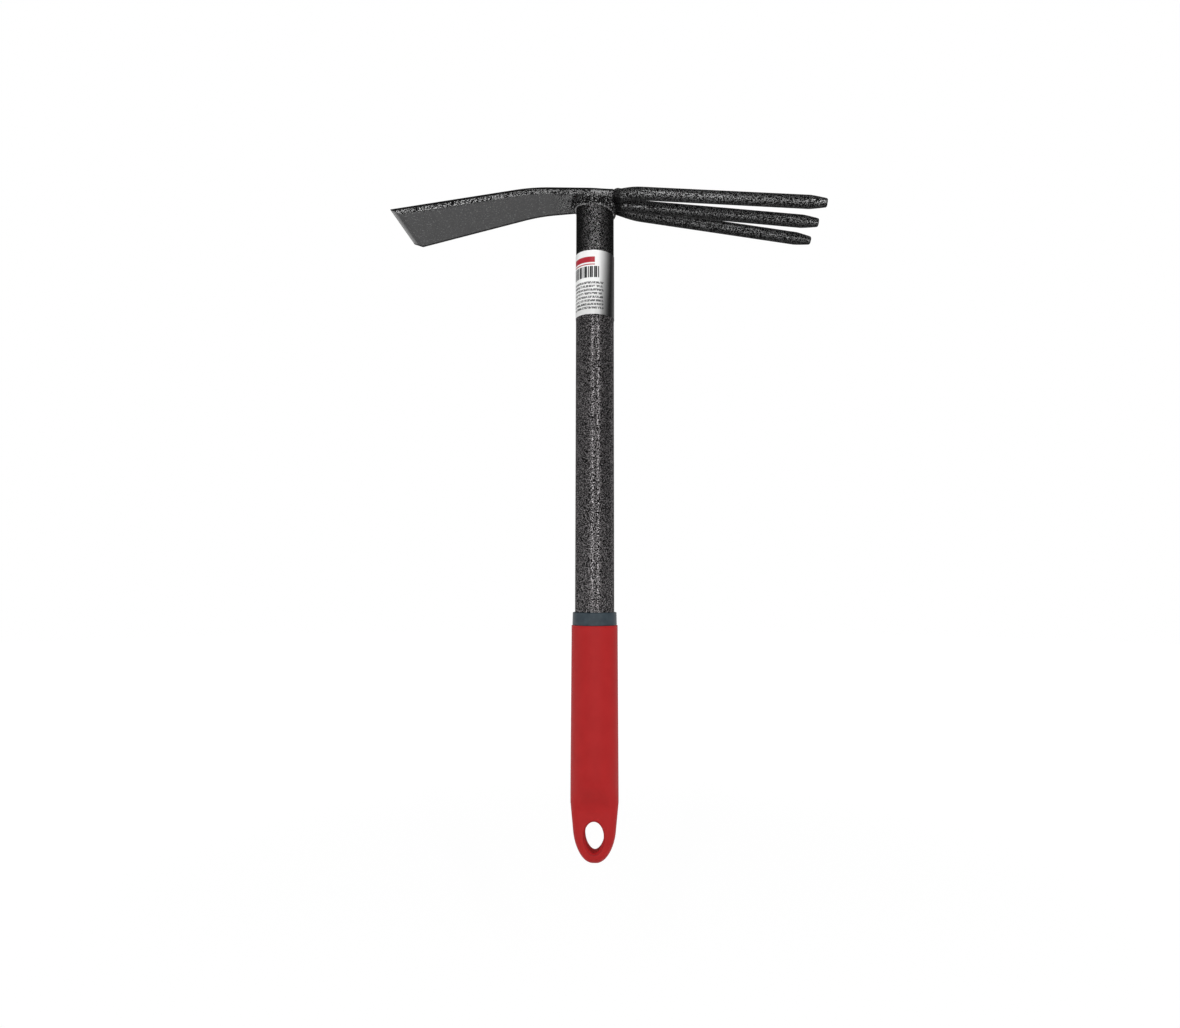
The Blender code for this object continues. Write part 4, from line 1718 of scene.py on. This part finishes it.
    def _hang_hole(self) -> bpy.types.Object:
        """The egg-shaped cutter of the hang hole, flared at both faces of the tab.

        Returns:
            The cutter.
        """
        face = self.tab / 2
        flare = [(face + self.rim_round, self.rim_round)]
        flare += [(face - below, margin)
                  for below, margin in reversed(rounded_corner(self.rim_round, self.rim_steps))]
        depths = [(-y, margin) for y, margin in flare] + [(y, margin) for y, margin in reversed(flare)]
        middle = Vector((0, 0, self.hole_top - self.hole_widest))
        first, margin = depths[0]
        wide = self.hole_width / 2 + margin
        bench = Bench.disc("hang_hole", wide, self.sides, middle + Vector((0, first, 0)), (math.pi / 2, 0, 0))
        bench.scale((1, 1, (self.hole_widest + margin) / wide), middle)
        self._point_toe(bench, middle, margin)
        for (before, narrow), (y, margin) in zip(depths, depths[1:]):
            bench.extrude((0, y - before, 0))
            self._grow_section(bench, middle, y, narrow, margin)
        return bench.clean().close()

    def _point_toe(self, bench: Bench, middle: Vector, margin: float) -> None:
        """Give the lower half of the hole's outline its longer and slightly pointed toe.

        Args:
            bench: The cutter's bench, with its first section selected.
            middle: The middle of the hole's widest line.
            margin: How much larger than the hole that section is.
        """
        power = 2 / self.toe_power
        rows = sorted({round(place.z, 7) for place in bench.chosen() if place.z < middle.z - TOUCHING})
        for z in rows:
            drop = min((middle.z - z) / (self.hole_widest + margin), 1.0)
            bench.pick_section("z", z)
            bench.scale((max(1 - drop ** 2, SLIVER) ** ((power - 1) / 2), 1, 1), middle)
            bench.move((0, 0, middle.z - (self.hole_fall + margin) * drop ** power - z))
        bench.pick_all()

    def _grow_section(self, bench: Bench, middle: Vector, y: float, narrow: float, margin: float) -> None:
        """Widen the newest section of the cutter from one margin to another.

        Args:
            bench: The cutter's bench.
            middle: The middle of the hole's widest line.
            y: The section's place through the tab.
            narrow: The margin that it has.
            margin: The margin that it gets.
        """
        wide = self.hole_width / 2
        across = (wide + margin) / (wide + narrow)
        for side, reach in ((1, self.hole_widest), (-1, self.hole_fall)):
            bench.pick_section("y", y, lambda place, side=side: (place.z - middle.z) * side > TOUCHING)
            bench.scale((across, 1, (reach + margin) / (reach + narrow)), middle)
        bench.pick_section("y", y, lambda place: abs(place.z - middle.z) < TOUCHING)
        bench.scale((across, 1, 1), middle)
        bench.pick_section("y", y)


@dataclass(frozen=True)
class Lamp:
    """A flat lamp that faces the tool.

    It stands at a bearing, in degrees to the right of the viewer's side, at a distance, and at a rise
    over the middle of the tool. Its size is its width and height, its power is in watts, and glossy says
    whether it shows in glossy surfaces.
    """

    name: str
    bearing: float
    distance: float
    rise: float
    size: Span
    power: float
    glossy: bool = True
    target: Point = (0.0, 0.0, 0.11)

    def build(self) -> None:
        """Add the lamp to the scene."""
        lamp = bpy.data.lights.new(self.name, "AREA")
        lamp.shape = "RECTANGLE"
        lamp.size, lamp.size_y = self.size
        lamp.energy = self.power
        angle = math.radians(self.bearing)
        offset = Vector((math.sin(angle) * self.distance, -math.cos(angle) * self.distance, self.rise))
        stand = bpy.data.objects.new(self.name, lamp)
        stand.visible_glossy = self.glossy
        stand.location = Vector(self.target) + offset
        stand.rotation_euler = (-offset).to_track_quat("-Z", "Y").to_euler()
        bpy.context.scene.collection.objects.link(stand)


@dataclass
class Studio:
    """White paper, soft lamps and the camera of the photograph."""

    camera_place: Point = (0.03336, -0.43974, 0.0715)
    heading: float = math.radians(4.687)
    pitch: float = math.radians(5.2)
    roll: float = math.radians(0.08)
    sensor: float = 36.0
    floor_level: float = -0.19
    floor_radius: float = 4.0
    sky: float = 0.46
    ceiling: float = 0.08
    ceiling_edge: Span = (0.28, 0.44)
    viewer_side: Span = (0.35, 0.03)
    viewer_turn: Span = (-0.3, 0.4)
    viewer_edge: Span = (0.70, 0.20)
    lamps: tuple[Lamp, ...] = (
        Lamp("strip_left", -9.0, 0.9, 0.09, (0.04, 1.14), 2.55),
        Lamp("strip_right", 24.0, 0.9, 0.09, (0.04, 1.14), 2.4),
        Lamp("soft_front", 8.0, 1.3, 0.0, (0.6, 0.6), 0.4, glossy=False),
        Lamp("soft_left", -74.0, 1.3, 0.0, (0.9, 0.9), 5.2, glossy=False),
        Lamp("soft_right", 78.0, 1.3, 0.0, (0.9, 0.9), 5.0, glossy=False),
    )

    def build(self) -> None:
        """Set up the floor, the world, the lamps and the camera."""
        self.paper()
        self.world()
        for lamp in self.lamps:
            lamp.build()
        self.camera()

    def paper(self) -> None:
        """A wide sheet of white paper under the tool."""
        sheet = Bench.disc("studio_paper", self.floor_radius, 64, (0, 0, self.floor_level)).finish(sharp=35)
        sheet.data.materials.append(StudioPaper("studio_paper").material())

    def world(self) -> None:
        """A pale surround: white where it is seen, and dimmer overhead and on the viewer's side."""
        recipe = Recipe(bpy.data.worlds.new("studio_surround"))
        camera = recipe.node("ShaderNodeLightPath", output="Is Camera Ray")
        facing = recipe.node("ShaderNodeTexCoord", output="Generated").split()
        band = 1.0 - abs(facing[2]).rise(*self.ceiling_edge) * (1.0 - self.ceiling)
        left, right = self.viewer_side
        front = facing[0].rise(*self.viewer_turn) * (right - left) + left
        side = 1.0 - facing[1].rise(*self.viewer_edge) * (1.0 - front)
        light = seen_background(recipe) * (band * side - self.sky) + self.sky
        surround = recipe.node("ShaderNodeBackground", None,
                               {"Color": (1, 1, 1, 1), "Strength": light.most(camera)})
        bpy.context.scene.world = recipe.output(surround)

    def camera(self) -> None:
        """The camera, where the photograph was taken from."""
        lens = bpy.data.cameras.new("photo_camera")
        lens.sensor_width = self.sensor
        lens.lens = self.sensor * PHOTO_FOCAL / PHOTO_WIDTH
        stand = bpy.data.objects.new("photo_camera", lens)
        stand.location = self.camera_place
        aim = Euler((math.pi / 2 + self.pitch, 0.0, self.heading)).to_matrix()
        stand.rotation_euler = (aim @ Matrix.Rotation(self.roll, 3, "Z")).to_euler()
        bpy.context.scene.collection.objects.link(stand)
        bpy.context.scene.camera = stand
        bpy.context.scene.view_settings.view_transform = "Standard"


def main() -> None:
    """Build the tool and its studio round the frame."""
    logging.basicConfig(level=logging.INFO, format="%(message)s")
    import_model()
    Studio().build()
    Head().build()
    Handle().build()
    Grip().build()


if __name__ == "__main__":
    main()
